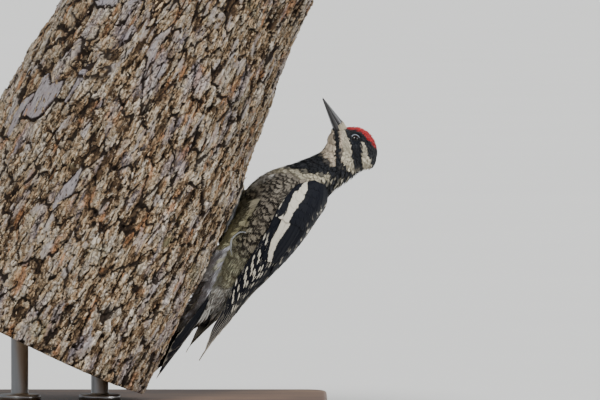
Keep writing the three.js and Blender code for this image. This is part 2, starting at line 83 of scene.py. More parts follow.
@dataclass(frozen=True)
class BirdFrame:
    """How the bird's own axes lie in the world."""

    lean: float = math.radians(26)
    cling: float = math.radians(22)
    trunk_radius: float = 74.0
    trunk_foot: Triple = (-46.2, 0.0, 53.3)

    @property
    def girth(self) -> float:
        """The trunk's girth."""
        return 2 * math.pi * self.trunk_radius

    @property
    def axes(self) -> Array:
        """Unit rows: out from the bark, up the trunk and to the bird's left."""
        up = np.array([math.sin(self.lean), 0, math.cos(self.lean)])
        flat = np.array([math.cos(self.lean), 0, -math.sin(self.lean)])
        out = flat * math.cos(self.cling) + np.array([0, math.sin(self.cling), 0])
        return np.array([out, up, np.cross(out, up)])

    @property
    def origin(self) -> Array:
        """The bird frame's zero in world millimetres, on the bark under the bird."""
        return np.array(self.trunk_foot) + self.trunk_radius * self.axes[0]

    def to_world(self, points: Array) -> Array:
        """World metres from bird millimetres."""
        return (points @ self.axes + self.origin) / 1000

    def to_bird(self, points: Array) -> Array:
        """Bird millimetres from world metres."""
        return (points * 1000 - self.origin) @ self.axes.T

    def flank_view(self, points: Array) -> tuple[Array, Array]:
        """Where points lie on a flat drawing of the bird's side, the same for both sides.

        Args:
            points: places in the bird's frame, (..., 3).

        Returns:
            How far up the trunk each lies, and how far out from the bark's edge.
        """
        turned = (self.trunk_radius + points[..., 0]) * math.cos(self.cling)
        turned = turned + np.abs(points[..., 2]) * math.sin(self.cling)
        return points[..., 1], turned - self.trunk_radius


BIRD = BirdFrame()


@dataclass(frozen=True)
class HeadFrame:
    """The head's own axes: forward along the bill and up, from the culmen's root."""

    root: tuple[float, float] = (43.1, 189.5)
    bill_angle: float = math.radians(-57.3)
    eye: Triple = (-10.2, -0.4, 5.75)

    @property
    def forward(self) -> Array:
        """Unit vector along the bill."""
        return np.array([math.sin(self.bill_angle), math.cos(self.bill_angle), 0])

    @property
    def crownward(self) -> Array:
        """Unit vector up from the bill towards the crown."""
        return np.array([self.forward[1], -self.forward[0], 0])

    def point(self, fore: Array, above: Array, side: Array) -> Array:
        """Bird-frame points from places forward, up and to the left of the root."""
        fore, above, side = np.broadcast_arrays(*(np.asarray(v, float) for v in (fore, above, side)))
        base = np.stack([np.full(fore.shape, self.root[0]), np.full(fore.shape, self.root[1]), side], -1)
        return base + fore[..., None] * self.forward + above[..., None] * self.crownward

    def eye_centre(self, side: int) -> Array:
        """The middle of the left eyeball, for side 1, or the right one, for -1."""
        return self.point(self.eye[0], self.eye[1], side * self.eye[2])

    def places(self, points: Array) -> tuple[Array, Array]:
        """How far forward and up of the root each bird-frame point lies."""
        offset = points - np.array([*self.root, 0.0])
        return offset @ self.forward, offset @ self.crownward


HEAD = HeadFrame()
WORD = 0xFFFFFFFF


def hashed(cells: Array, seed: int) -> Array:
    """A fixed pseudo-random number from 0 to 1 for each whole-number cell, (..., D).

    Args:
        cells: whole numbers, (..., D).
        seed: which set of numbers.

    Returns:
        One number for each cell, (...).
    """
    mixed = np.full(cells.shape[:-1], (seed * 2654435761 + 12345) & WORD, np.uint64)
    for axis in range(cells.shape[-1]):
        mixed = ((mixed ^ (cells[..., axis].astype(np.int64).astype(np.uint64) & WORD)) * 0x9E3779B1) & WORD
        mixed = ((mixed ^ (mixed >> 15)) * 0x85EBCA6B) & WORD
        mixed ^= mixed >> 13
    return (mixed & 0xFFFFFF) / float(1 << 24)


def noise(points: Array, scale: float, seed: int) -> Array:
    """Smooth noise from -1 to 1 whose lumps are about scale across.

    Args:
        points: places, (..., D).
        scale: how wide a lump is.
        seed: which pattern.

    Returns:
        A value for each place.
    """
    places = points / scale
    cells = np.floor(places)
    part = places - cells
    part = part * part * (3 - 2 * part)
    total = np.zeros(points.shape[:-1])
    for corner in np.ndindex(*(2,) * points.shape[-1]):
        weight = np.prod(np.where(corner, part, 1 - part), axis=-1)
        total += weight * hashed(cells + corner, seed)
    return 2 * total - 1


def plates(around: Array, up: Array, width: float, stretch: float, seed: int) -> tuple[Array, ...]:
    """A pattern of angular plates round the trunk.

    Args:
        around: places round it, in millimetres of its girth.
        up: places up it.
        width: how wide the plates are.
        stretch: how many times as long as wide they are.
        seed: which pattern.

    Returns:
        How far inside its plate each place lies, 0 at the border, the plate's own number,
        and how high the place lies on the plate's tilted face, about -0.5 to 0.5.
    """
    columns = round(BIRD.girth / width)
    places = np.stack([around * columns / BIRD.girth, up / (width * stretch)], -1)
    cells = np.floor(places)
    first, second = np.full(len(places), 9.0), np.full(len(places), 9.0)
    own, face = np.zeros(len(places)), np.zeros(len(places))
    for offset in np.ndindex(3, 3):
        cell = cells + np.array(offset) - 1
        key = np.stack([cell[:, 0] % columns, cell[:, 1]], -1)
        draw = [hashed(key, seed + i) for i in range(6)]
        gap = places - cell - np.stack(draw[:2], -1)
        turn = 1.3 * (draw[2] - 0.5)
        a = gap[:, 0] * np.cos(turn) + gap[:, 1] * np.sin(turn)
        b = gap[:, 1] * np.cos(turn) - gap[:, 0] * np.sin(turn)
        distance = 0.65 * np.maximum(np.abs(a), np.abs(b)) + 0.35 * np.hypot(a, b)
        nearer = distance < first
        second = np.where(nearer, first, np.minimum(second, distance))
        own = np.where(nearer, draw[3], own)
        face = np.where(nearer, (draw[4] - 0.5) * 1.4 * a + (draw[5] - 0.5) * 1.4 * b, face)
        first = np.where(nearer, distance, first)
    return second - first, own, face


def ease(low: float, high: float, value: Array) -> Array:
    """Rises smoothly from 0 at low to 1 at high; falls where low is above high."""
    t = np.clip((np.asarray(value, float) - low) / (high - low), 0, 1)
    return t * t * (3 - 2 * t)


def unit(vectors: Array) -> Array:
    """The vectors brought to length 1."""
    return vectors / np.maximum(np.linalg.norm(vectors, axis=-1, keepdims=True), 1e-9)


def mixed(a: Array, b: Array, share: Array) -> Array:
    """Between colours a and b, by a share of b for each point."""
    share = np.asarray(share)[..., None]
    return np.asarray(a) * (1 - share) + np.asarray(b) * share


# ---- Meshes -------------------------------------------------------------------------


@dataclass
class Shape:
    """Points and faces, with what each point carries, before they become an object."""

    points: Array
    faces: list[Array]
    traits: dict[str, Array] = field(default_factory=dict)
    bake: Array | None = None


def joined(shapes: list[Shape]) -> Shape:
    """One shape of several that carry the same traits.

    Args:
        shapes: the shapes, at least one.

    Returns:
        Their points, faces, traits and bake places in one.
    """
    offsets = np.cumsum([0] + [len(s.points) for s in shapes[:-1]])
    faces = [f + offset for s, offset in zip(shapes, offsets) for f in s.faces]
    traits = {k: np.concatenate([s.traits[k] for s in shapes]) for k in shapes[0].traits}
    bake = None if shapes[0].bake is None else np.concatenate([s.bake for s in shapes])
    return Shape(np.concatenate([s.points for s in shapes]), faces, traits, bake)


def volume(points: Array, faces: Array) -> float:
    """Six times the signed volume inside a closed set of faces.

    Args:
        points: (N, 3) points.
        faces: (F, C) faces of like size.

    Returns:
        Six times the volume, below 0 where the faces point inwards.
    """
    corners = points[faces]
    total = 0.0
    for step in range(1, faces.shape[1] - 1):
        total += np.einsum("ij,ij->i", corners[:, 0], np.cross(corners[:, step], corners[:, step + 1])).sum()
    return float(total)


def repeated(points: Array, template: Array) -> list[Array]:
    """The template's faces for each of many like shapes, turned to face outwards.

    Args:
        points: (N, V, 3), each shape's points.
        template: (F, C), the faces of one.

    Returns:
        The faces of all, as one array in a list.
    """
    sample = points[: min(len(points), 40)]
    if sum(volume(one - one.mean(0), template) for one in sample) < 0:
        template = template[:, ::-1]
    starts = np.arange(len(points)) * points.shape[1]
    return [(starts[:, None, None] + template[None]).reshape(-1, template.shape[1])]


def linked(name: str, data: bpy.types.ID) -> Object:
    """A new object in the scene that holds the data."""
    made = bpy.data.objects.new(name, data)
    bpy.context.scene.collection.objects.link(made)
    return made


def make_object(name: str, shape: Shape, finish: Material, smooth: bool = True) -> Object:
    """An object at the origin from a shape whose points are world metres.

    Args:
        name: the object's and mesh's name.
        shape: its points, in metres, and faces.
        finish: its material.
        smooth: whether it is shaded smooth.

    Returns:
        The object, in the scene.
    """
    mesh = bpy.data.meshes.new(name)
    corners = np.concatenate([f.ravel() for f in shape.faces]).astype(np.int32)
    sizes = np.concatenate([np.full(len(f), f.shape[1]) for f in shape.faces])
    mesh.vertices.add(len(shape.points))
    mesh.vertices.foreach_set("co", shape.points.astype(np.float32).ravel())
    mesh.loops.add(len(corners))
    mesh.loops.foreach_set("vertex_index", corners)
    mesh.polygons.add(len(sizes))
    mesh.polygons.foreach_set("loop_start", (np.cumsum(sizes) - sizes).astype(np.int32))
    mesh.polygons.foreach_set("loop_total", sizes.astype(np.int32))
    for trait, values in shape.traits.items():
        kind = "FLOAT" if values.ndim == 1 else "FLOAT_VECTOR"
        layer = mesh.attributes.new(trait, kind, "POINT")
        layer.data.foreach_set("value" if values.ndim == 1 else "vector", values.astype(np.float32).ravel())
    if shape.bake is not None:
        layer = mesh.uv_layers.new(name="OFBake")
        layer.uv.foreach_set("vector", shape.bake[corners].astype(np.float32).ravel())
    mesh.materials.append(finish)
    mesh.update(calc_edges=True)
    mesh.polygons.foreach_set("use_smooth", np.full(len(sizes), smooth))
    mesh.validate()
    return linked(name, mesh)


def add_piece(
    name: str,
    shape: Shape,
    finish: Material,
    replaces: tuple[str, ...] = (),
    smooth: bool = True,
) -> Object:
    """Makes a finished piece from bird-frame points, rides it on the root and reports it."""
    placed = Shape(BIRD.to_world(shape.points), shape.faces, shape.traits, shape.bake)
    return settle_piece(make_object(name, placed, finish, smooth), replaces)


def settle_piece(piece: Object, replaces: tuple[str, ...] = ()) -> Object:
    """Says what a piece rides on and which nodes it stands for.

    Args:
        piece: the finished object.
        replaces: the nodes it stands for.

    Returns:
        The same object.
    """
    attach(piece, "root")
    if replaces:
        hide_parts(*replaces)
    piece.data.calc_loop_triangles()
    log.info("%s: %d triangles", piece.name, len(piece.data.loop_triangles))
    return piece


def node_shape(name: str) -> tuple[Array, Array]:
    """A frame node's merged points in the bird's frame, and its triangles.

    Args:
        name: the node's name.

    Returns:
        Its points, in millimetres, and its triangles.
    """
    mesh = frame["nodes"][name].data
    points = np.empty(len(mesh.vertices) * 3)
    mesh.vertices.foreach_get("co", points)
    mesh.calc_loop_triangles()
    faces = np.empty(len(mesh.loop_triangles) * 3, np.int32)
    mesh.loop_triangles.foreach_get("vertices", faces)
    merged, index = np.unique(np.round(points.reshape(-1, 3), 7), axis=0, return_inverse=True)
    faces = index.ravel()[faces.reshape(-1, 3)]
    keep = (faces[:, 0] != faces[:, 1]) & (faces[:, 1] != faces[:, 2]) & (faces[:, 0] != faces[:, 2])
    return BIRD.to_bird(merged), faces[keep]


def point_normals(points: Array, faces: Array) -> Array:
    """Outward unit vectors at a mesh's points.

    Args:
        points: (N, 3) points.
        faces: triangles or quads.

    Returns:
        A unit vector for each point.
    """
    corners = points[faces]
    across = np.cross(corners[:, 1] - corners[:, 0], corners[:, 2] - corners[:, 0])
    if faces.shape[1] == 4:
        across = np.cross(corners[:, 2] - corners[:, 0], corners[:, 3] - corners[:, 1])
    normals = np.zeros_like(points)
    for column in range(faces.shape[1]):
        np.add.at(normals, faces[:, column], across)
    return unit(normals)


def blades(centre: Array, side: Array, normal: Array, half: Array, ridge: Array) -> Shape:
    """Many closed slim blades, three-sided in section and pointed at the end.

    Args:
        centre: (N, M, 3) places along each blade.
        side: (N, M, 3) unit vectors across it.
        normal: (N, M, 3) unit vectors out of it.
        half: (N, M) half widths.
        ridge: (N, M) heights of the ridge along its middle.

    Returns:
        The blades as one shape.
    """
    count, rings = half.shape
    wide = side * half[..., None]
    ring = np.stack([centre - wide, centre + normal * ridge[..., None], centre + wide], axis=2)
    points = np.concatenate([ring[:, :-1].reshape(count, -1, 3), centre[:, -1:]], axis=1)
    faces = [(0, 2, 1)]
    for low in range(0, 3 * (rings - 2), 3):
        for a, b in ((0, 1), (1, 2), (2, 0)):
            faces += [(low + a, low + b, low + 3 + b), (low + a, low + 3 + b, low + 3 + a)]
    last, tip = 3 * (rings - 2), 3 * (rings - 1)
    faces += [(last, last + 1, tip), (last + 1, last + 2, tip), (last + 2, last, tip)]
    return Shape(points.reshape(-1, 3), repeated(points, np.array(faces)))


def blade_points(rings: int) -> int:
    """How many points a blade has, three on every ring but the last, which is its tip."""
    return 3 * (rings - 1) + 1


def sheets(top: Array, normal: Array, thickness: float) -> Shape:
    """Many closed thin sheets from grids of points on their upper faces.

    Args:
        top: (N, M, K, 3) grids.
        normal: the unit vectors out of them, as many.
        thickness: how far the lower face lies under the upper one.

    Returns:
        The sheets as one shape.
    """
    count, rows, columns = top.shape[:3]
    points = np.stack([top, top - normal * thickness], axis=1).reshape(count, -1, 3)
    index = np.arange(rows * columns).reshape(rows, columns)
    upper = np.stack([index[:-1, :-1], index[1:, :-1], index[1:, 1:], index[:-1, 1:]], -1).reshape(-1, 4)
    rim = np.concatenate([index[0, :], index[1:, -1], index[-1, -2::-1], index[-2:0:-1, 0]])
    after = np.roll(rim, -1)
    under = rows * columns
    walls = np.stack([rim, after, after + under, rim + under], -1)
    faces = np.concatenate([upper, upper[:, ::-1] + under, walls])
    return Shape(points.reshape(-1, 3), repeated(points, faces))


def tube(centre: Array, radius: Array, sides: int, bow: Array | None = None) -> Shape:
    """A closed round limb along a line of points.

    Args:
        centre: (M, 3) points along the middle.
        radius: (M,) radii.
        sides: how many sides the limb has.
        bow: a vector near which the first corner of each ring lies.

    Returns:
        The limb, with "turn" and "along" traits.
    """
    tangent = unit(np.gradient(centre, axis=0))
    bow = np.array([0.3, 0.2, 1.0]) if bow is None else bow
    first = unit(bow - (tangent @ bow)[:, None] * tangent)
    second = np.cross(tangent, first)
    turn = np.linspace(0, 2 * math.pi, sides, endpoint=False)
    ring = first[:, None] * np.cos(turn)[:, None] + second[:, None] * np.sin(turn)[:, None]
    points = (centre[:, None] + ring * radius[:, None, None]).reshape(-1, 3)
    along = np.repeat(
        np.concatenate([[0], np.cumsum(np.linalg.norm(np.diff(centre, axis=0), axis=1))]), sides
    )
    return closed_rings(points, len(centre), sides, {"along": along, "turn": np.tile(turn, len(centre))})


def closed_rings(points: Array, rings: int, sides: int, traits: dict[str, Array]) -> Shape:
    """A closed shape from rings of points, with a middle point at each end.

    Args:
        points: the rings' points, one ring after another.
        rings: how many rings there are.
        sides: how many points each has.
        traits: values for each point.

    Returns:
        The shape, facing outwards.
    """
    index = np.arange(rings * sides).reshape(rings, sides)
    after = np.roll(index, -1, axis=1)
    quads = np.stack([index[:-1], after[:-1], after[1:], index[1:]], -1).reshape(-1, 4)
    ends = np.array([points[:sides].mean(0), points[-sides:].mean(0)])
    low = np.stack([np.full(sides, len(points)), after[0], index[0]], -1)
    high = np.stack([np.full(sides, len(points) + 1), index[-1], after[-1]], -1)
    everything = np.concatenate([points, ends])
    traits = {k: np.concatenate([v, v[:1], v[-1:]]) for k, v in traits.items()}
    centred = everything - everything.mean(0)
    if volume(centred, quads) + volume(centred, low) + volume(centred, high) < 0:
        quads, low, high = quads[:, ::-1], low[:, ::-1], high[:, ::-1]
    return Shape(everything, [quads, np.concatenate([low, high])], traits)


def smooth_line(knots: Array, count: int) -> Array:
    """Points along a smooth curve through the knots, (K, D).

    Args:
        knots: (K, D) points it goes through.
        count: how many points to give.

    Returns:
        (count, D) points.
    """
    knots = np.asarray(knots, float)
    ends = np.concatenate([[2 * knots[0] - knots[1]], knots, [2 * knots[-1] - knots[-2]]])
    place = np.linspace(0, len(knots) - 1, count)
    cell = np.minimum(place.astype(int), len(knots) - 2)
    t = (place - cell)[:, None]
    a, b, c, d = (ends[cell + i] for i in range(4))
    return 0.5 * (2 * b + (c - a) * t + (2 * a - 5 * b + 4 * c - d) * t**2 + (3 * b - a - 3 * c + d) * t**3)


# ---- Shader nodes -------------------------------------------------------------------


class Tree:
    """A node tree with short ways to add, set and link nodes."""

    def __init__(self, tree: bpy.types.NodeTree) -> None:
        """Wraps a node tree."""
        self.tree = tree
        self.shader: Node | None = None

    def node(self, kind: str, values: dict | None = None, **settings) -> Node:
        """Adds a node, sets its properties, and sets or links its inputs by name or place.

        Args:
            kind: the node's type.
            values: what each input holds or is linked to.
            settings: the node's own properties.

        Returns:
            The new node.
        """
        made = self.tree.nodes.new(kind)
        for key, value in settings.items():
            setattr(made, key, value)
        for key, value in (values or {}).items():
            self.feed(made.inputs[key], value)
        return made

    def feed(self, socket: Socket, value: object) -> None:
        """Links a socket, or sets its value.

        Args:
            socket: an input.
            value: another node's output, or a plain value.
        """
        if isinstance(value, Socket):
            self.tree.links.new(value, socket)
        elif isinstance(value, tuple) and socket.type == "RGBA" and len(value) == 3:
            socket.default_value = (*value, 1)
        else:
            socket.default_value = value

    def math(self, operation: str, *values: object, clamp: bool = False) -> Socket:
        """The result of a Math node."""
        made = self.node("ShaderNodeMath", dict(enumerate(values)), operation=operation, use_clamp=clamp)
        return made.outputs[0]

    def times(self, a: object, b: object) -> Socket:
        """The product of two numbers."""
        return self.math("MULTIPLY", a, b)

    def times_plus(self, a: object, b: object, c: object) -> Socket:
        """The product of a and b, plus c."""
        return self.math("MULTIPLY_ADD", a, b, c)

    def plus(self, a: object, b: object) -> Socket:
        """The sum of two numbers."""
        return self.math("ADD", a, b)

    def minus(self, a: object, b: object) -> Socket:
        """The first number less the second."""
        return self.math("SUBTRACT", a, b)

    def most(self, *values: object) -> Socket:
        """The greatest of several numbers.

        Args:
            values: two or more numbers or sockets.

        Returns:
            The greatest, as a socket.
        """
        made = values[0]
        for value in values[1:]:
            made = self.math("MAXIMUM", made, value)
        return made

    def ease(self, low: float, high: float, value: Socket) -> Socket:
        """Rises smoothly from 0 at low to 1 at high."""
        values = {"Value": value, "From Min": low, "From Max": high}
        made = self.node("ShaderNodeMapRange", values, interpolation_type="SMOOTHSTEP")
        return made.outputs[0]

    def mix(self, share: object, a: object, b: object, blend: str = "MIX") -> Socket:
        """A mix of two colours.

        Args:
            share: how much of b there is, 0 to 1.
            a: the first colour.
            b: the second colour.
            blend: how they are blended.

        Returns:
            The mixed colour.
        """
        made = self.node("ShaderNodeMix", data_type="RGBA", blend_type=blend)
        self.feed(made.inputs[0], share)
        self.feed(made.inputs[6], a)
        self.feed(made.inputs[7], b)
        return made.outputs[2]

    def trait(self, name: str, kind: str = "Fac") -> Socket:
        """One of the mesh's own traits, as a number, a Vector or a Color."""
        return self.node("ShaderNodeAttribute", attribute_name=name).outputs[kind]

    def parts(self, vector: Socket) -> list[Socket]:
        """A vector's three parts."""
        return list(self.node("ShaderNodeSeparateXYZ", {0: vector}).outputs)

    def cloud(self, place: Socket, scale: float, detail: float = 3.0) -> Socket:
        """Noise from about 0.2 to 0.8."""
        made = self.node("ShaderNodeTexNoise", {"Vector": place, "Scale": scale, "Detail": detail})
        return made.outputs[0]

    def object_place(self) -> Socket:
        """The point's place in the object, which is its place in the frame."""
        return self.node("ShaderNodeTexCoord").outputs["Object"]

    def stretched(self, place: Socket, scale: Triple) -> Socket:
        """A place with its three parts scaled."""
        return self.node("ShaderNodeMapping", {0: place, 3: scale}).outputs[0]

    def colour(self, value: Socket) -> None:
        """Colours the surface."""
        self.feed(self.shader.inputs["Base Color"], value)

    def gloss(self, value: Socket) -> None:
        """Sets the surface's roughness."""
        self.feed(self.shader.inputs["Roughness"], value)

    def bumps(self, height: Socket, strength: float, metres: float) -> None:
        """Bumps the surface by a height."""
        values = {"Height": height, "Strength": strength, "Distance": metres}
        self.feed(self.shader.inputs["Normal"], self.node("ShaderNodeBump", values).outputs[0])


def new_group(
    name: str, inputs: dict[str, str], outputs: dict[str, str], family: str = "Shader"
) -> tuple[Tree, Node, Node]:
    """An empty node group with named sockets.

    Args:
        name: what it is called.
        inputs: the kind of each named input.
        outputs: the kind of each named output.
        family: Shader or Geometry.

    Returns:
        The group's tree, and its input and output nodes.
    """
    group = bpy.data.node_groups.new(name, f"{family}NodeTree")
    for way, sockets in (("INPUT", inputs), ("OUTPUT", outputs)):
        for socket, kind in sockets.items():
            group.interface.new_socket(socket, in_out=way, socket_type=f"NodeSocket{kind}")
    tree = Tree(group)
    return tree, tree.node("NodeGroupInput"), tree.node("NodeGroupOutput")


def weathering_group() -> bpy.types.NodeTree:
    """Broad darker clouds over a colour, for wood that has been handled."""
    tree, given, out = new_group(
        "Weathering",
        {"Place": "Vector", "Colour": "Color", "Scale": "Float", "Amount": "Float"},
        {"Colour": "Color"},
    )
    broad = tree.node(
        "ShaderNodeTexNoise", {"Vector": given.outputs[0], "Scale": given.outputs[2], "Detail": 5.0}
    )
    mask = tree.ease(0.35, 0.7, broad.outputs[0])
    share = tree.times(mask, given.outputs[3])
    darker = tree.mix(1.0, given.outputs[1], (0.45, 0.42, 0.4), "MULTIPLY")
    tree.feed(out.inputs[0], tree.mix(share, given.outputs[1], darker))
    return tree.tree


def vane_group() -> bpy.types.NodeTree:
    """The marks on one feather, from its own place across and along it.

    Across runs from -1 to 1 and Along from 0 at the root to 1 at the tip. Habit holds how
    strongly a chevron, a fringe and a shaft streak show.
    """
    tree, given, out = new_group(
        "Feather marks",
        {"Place": "Vector", "Ground": "Color", "Mark": "Color", "Habit": "Vector"},
        {"Colour": "Color", "Barbs": "Float"},
    )
    across, along, own = tree.parts(given.outputs[0])
    chevron, fringe, shaft = tree.parts(given.outputs[3])
    wide = tree.math("ABSOLUTE", across)
    wavy = tree.times_plus(own, 0.06, 0.85)
    chevron_gap = tree.math("ABSOLUTE", tree.minus(tree.times_plus(wide, 0.13, along), wavy))
    chevron_mask = tree.times(tree.ease(0.135, 0.08, chevron_gap), chevron)
    edge = tree.most(tree.math("POWER", wide, 2.0), tree.math("POWER", along, 3.0))
    fringe_mask = tree.times(tree.ease(0.55, 0.85, edge), fringe)
    shaft_mask = tree.times(tree.ease(0.5, 0.2, wide), shaft)
    marks = tree.most(chevron_mask, fringe_mask, shaft_mask)
    tree.feed(out.inputs[0], tree.mix(marks, given.outputs[1], given.outputs[2]))
    slant = tree.times_plus(wide, 30.0, tree.times(along, 90.0))
    tree.feed(out.inputs[1], tree.math("SINE", tree.times(slant, 5.0)))
    return tree.tree


@dataclass(frozen=True)
class Finish:
    """What every finish has: a name, a roughness and fixed shader values."""

    name: str
    roughness: float = 0.6
    fixed: tuple[tuple[str, object], ...] = ()

    def start(self) -> tuple[Material, Tree]:
        """A material with a surface shader that holds the fixed values."""
        made = bpy.data.materials.new(self.name)
        made.use_nodes = True
        made.node_tree.nodes.clear()
        tree = Tree(made.node_tree)
        tree.shader = tree.node("ShaderNodeBsdfPrincipled", {"Roughness": self.roughness, **dict(self.fixed)})
        tree.node("ShaderNodeOutputMaterial", {0: tree.shader.outputs[0]})
        return made, tree


@dataclass(frozen=True)
class FeatherFinish(Finish):
    """Feathers coloured by their traits: ground, mark, habit and place."""

    barb_depth: float = 0.00003

    def build(self, marks: bpy.types.NodeTree) -> Material:
        """The material, reading each feather's own traits.

        Args:
            marks: the node group that lays the marks on a feather.

        Returns:
            The finished material.
        """
        made, tree = self.start()
        group = tree.node("ShaderNodeGroup", node_tree=marks)
        for socket, trait in enumerate(("place", "ground", "mark", "habit")):
            tree.feed(
                group.inputs[socket],
                tree.trait(trait, "Color" if trait in ("ground", "mark") else "Vector")
            )
        mottle = tree.cloud(tree.object_place(), 900.0)
        tinted = tree.mix(tree.times(mottle, 0.4), group.outputs[0], (0.35, 0.33, 0.3), "MULTIPLY")
        tree.colour(tinted)
        tree.bumps(group.outputs[1], 0.15, self.barb_depth)
        return made


# ---- Where the bird's colours lie ---------------------------------------------------

BLACK = (0.0105, 0.012, 0.017)
CREAM = (0.72, 0.66, 0.51)
BUFF = (0.60, 0.475, 0.33)
RED = (0.60, 0.022, 0.028)
OLIVE = (0.36, 0.335, 0.165)
DUSK = (0.026, 0.021, 0.017)
DRAB = (0.35, 0.31, 0.235)
BRINDLE = (0.62, 0.58, 0.47)
# the habit of a feather that shows no chevron, fringe or shaft streak
PLAIN = (0.0, 0.0, 0.0)


def course_distance(along: Array, out: Array, course: tuple[Triple, ...]) -> Array:
    """How far outside a stripe each place lies, negative inside it.

    Args:
        along: places up the trunk on the flat drawing of the side.
        out: places out from the bark's edge on it.
        course: the stripe's middle line, as (along, out, half width) points.

    Returns:
        The distances, in millimetres.
    """
    nearest = np.full(np.shape(along), np.inf)
    for (a0, o0, h0), (a1, o1, h1) in zip(course, course[1:]):
        da, do = a1 - a0, o1 - o0
        t = np.clip(((along - a0) * da + (out - o0) * do) / (da * da + do * do), 0, 1)
        gap = np.hypot(along - a0 - t * da, out - o0 - t * do) - (h0 + t * (h1 - h0))
        nearest = np.minimum(nearest, gap)
    return nearest


def area_distance(along: Array, out: Array, corners: tuple[tuple[float, float], ...]) -> Array:
    """How far outside an area with these corners each place lies, negative inside it.

    Args:
        along: places up the trunk on the flat drawing of the side.
        out: places out from the bark's edge on it.
        corners: the area's corners in order.

    Returns:
        The distances, in millimetres.
    """
    nearest = np.full(np.shape(along), np.inf)
    inside = np.zeros(np.shape(along), bool)
    for (a0, o0), (a1, o1) in zip(corners, corners[1:] + corners[:1]):
        da, do = a1 - a0, o1 - o0
        t = np.clip(((along - a0) * da + (out - o0) * do) / (da * da + do * do), 0, 1)
        nearest = np.minimum(nearest, np.hypot(along - a0 - t * da, out - o0 - t * do))
        if do:
            crosses = (out < o0) != (out < o1)
            inside ^= crosses & (along < a0 + (out - o0) * da / do)
    return np.where(inside, -nearest, nearest)


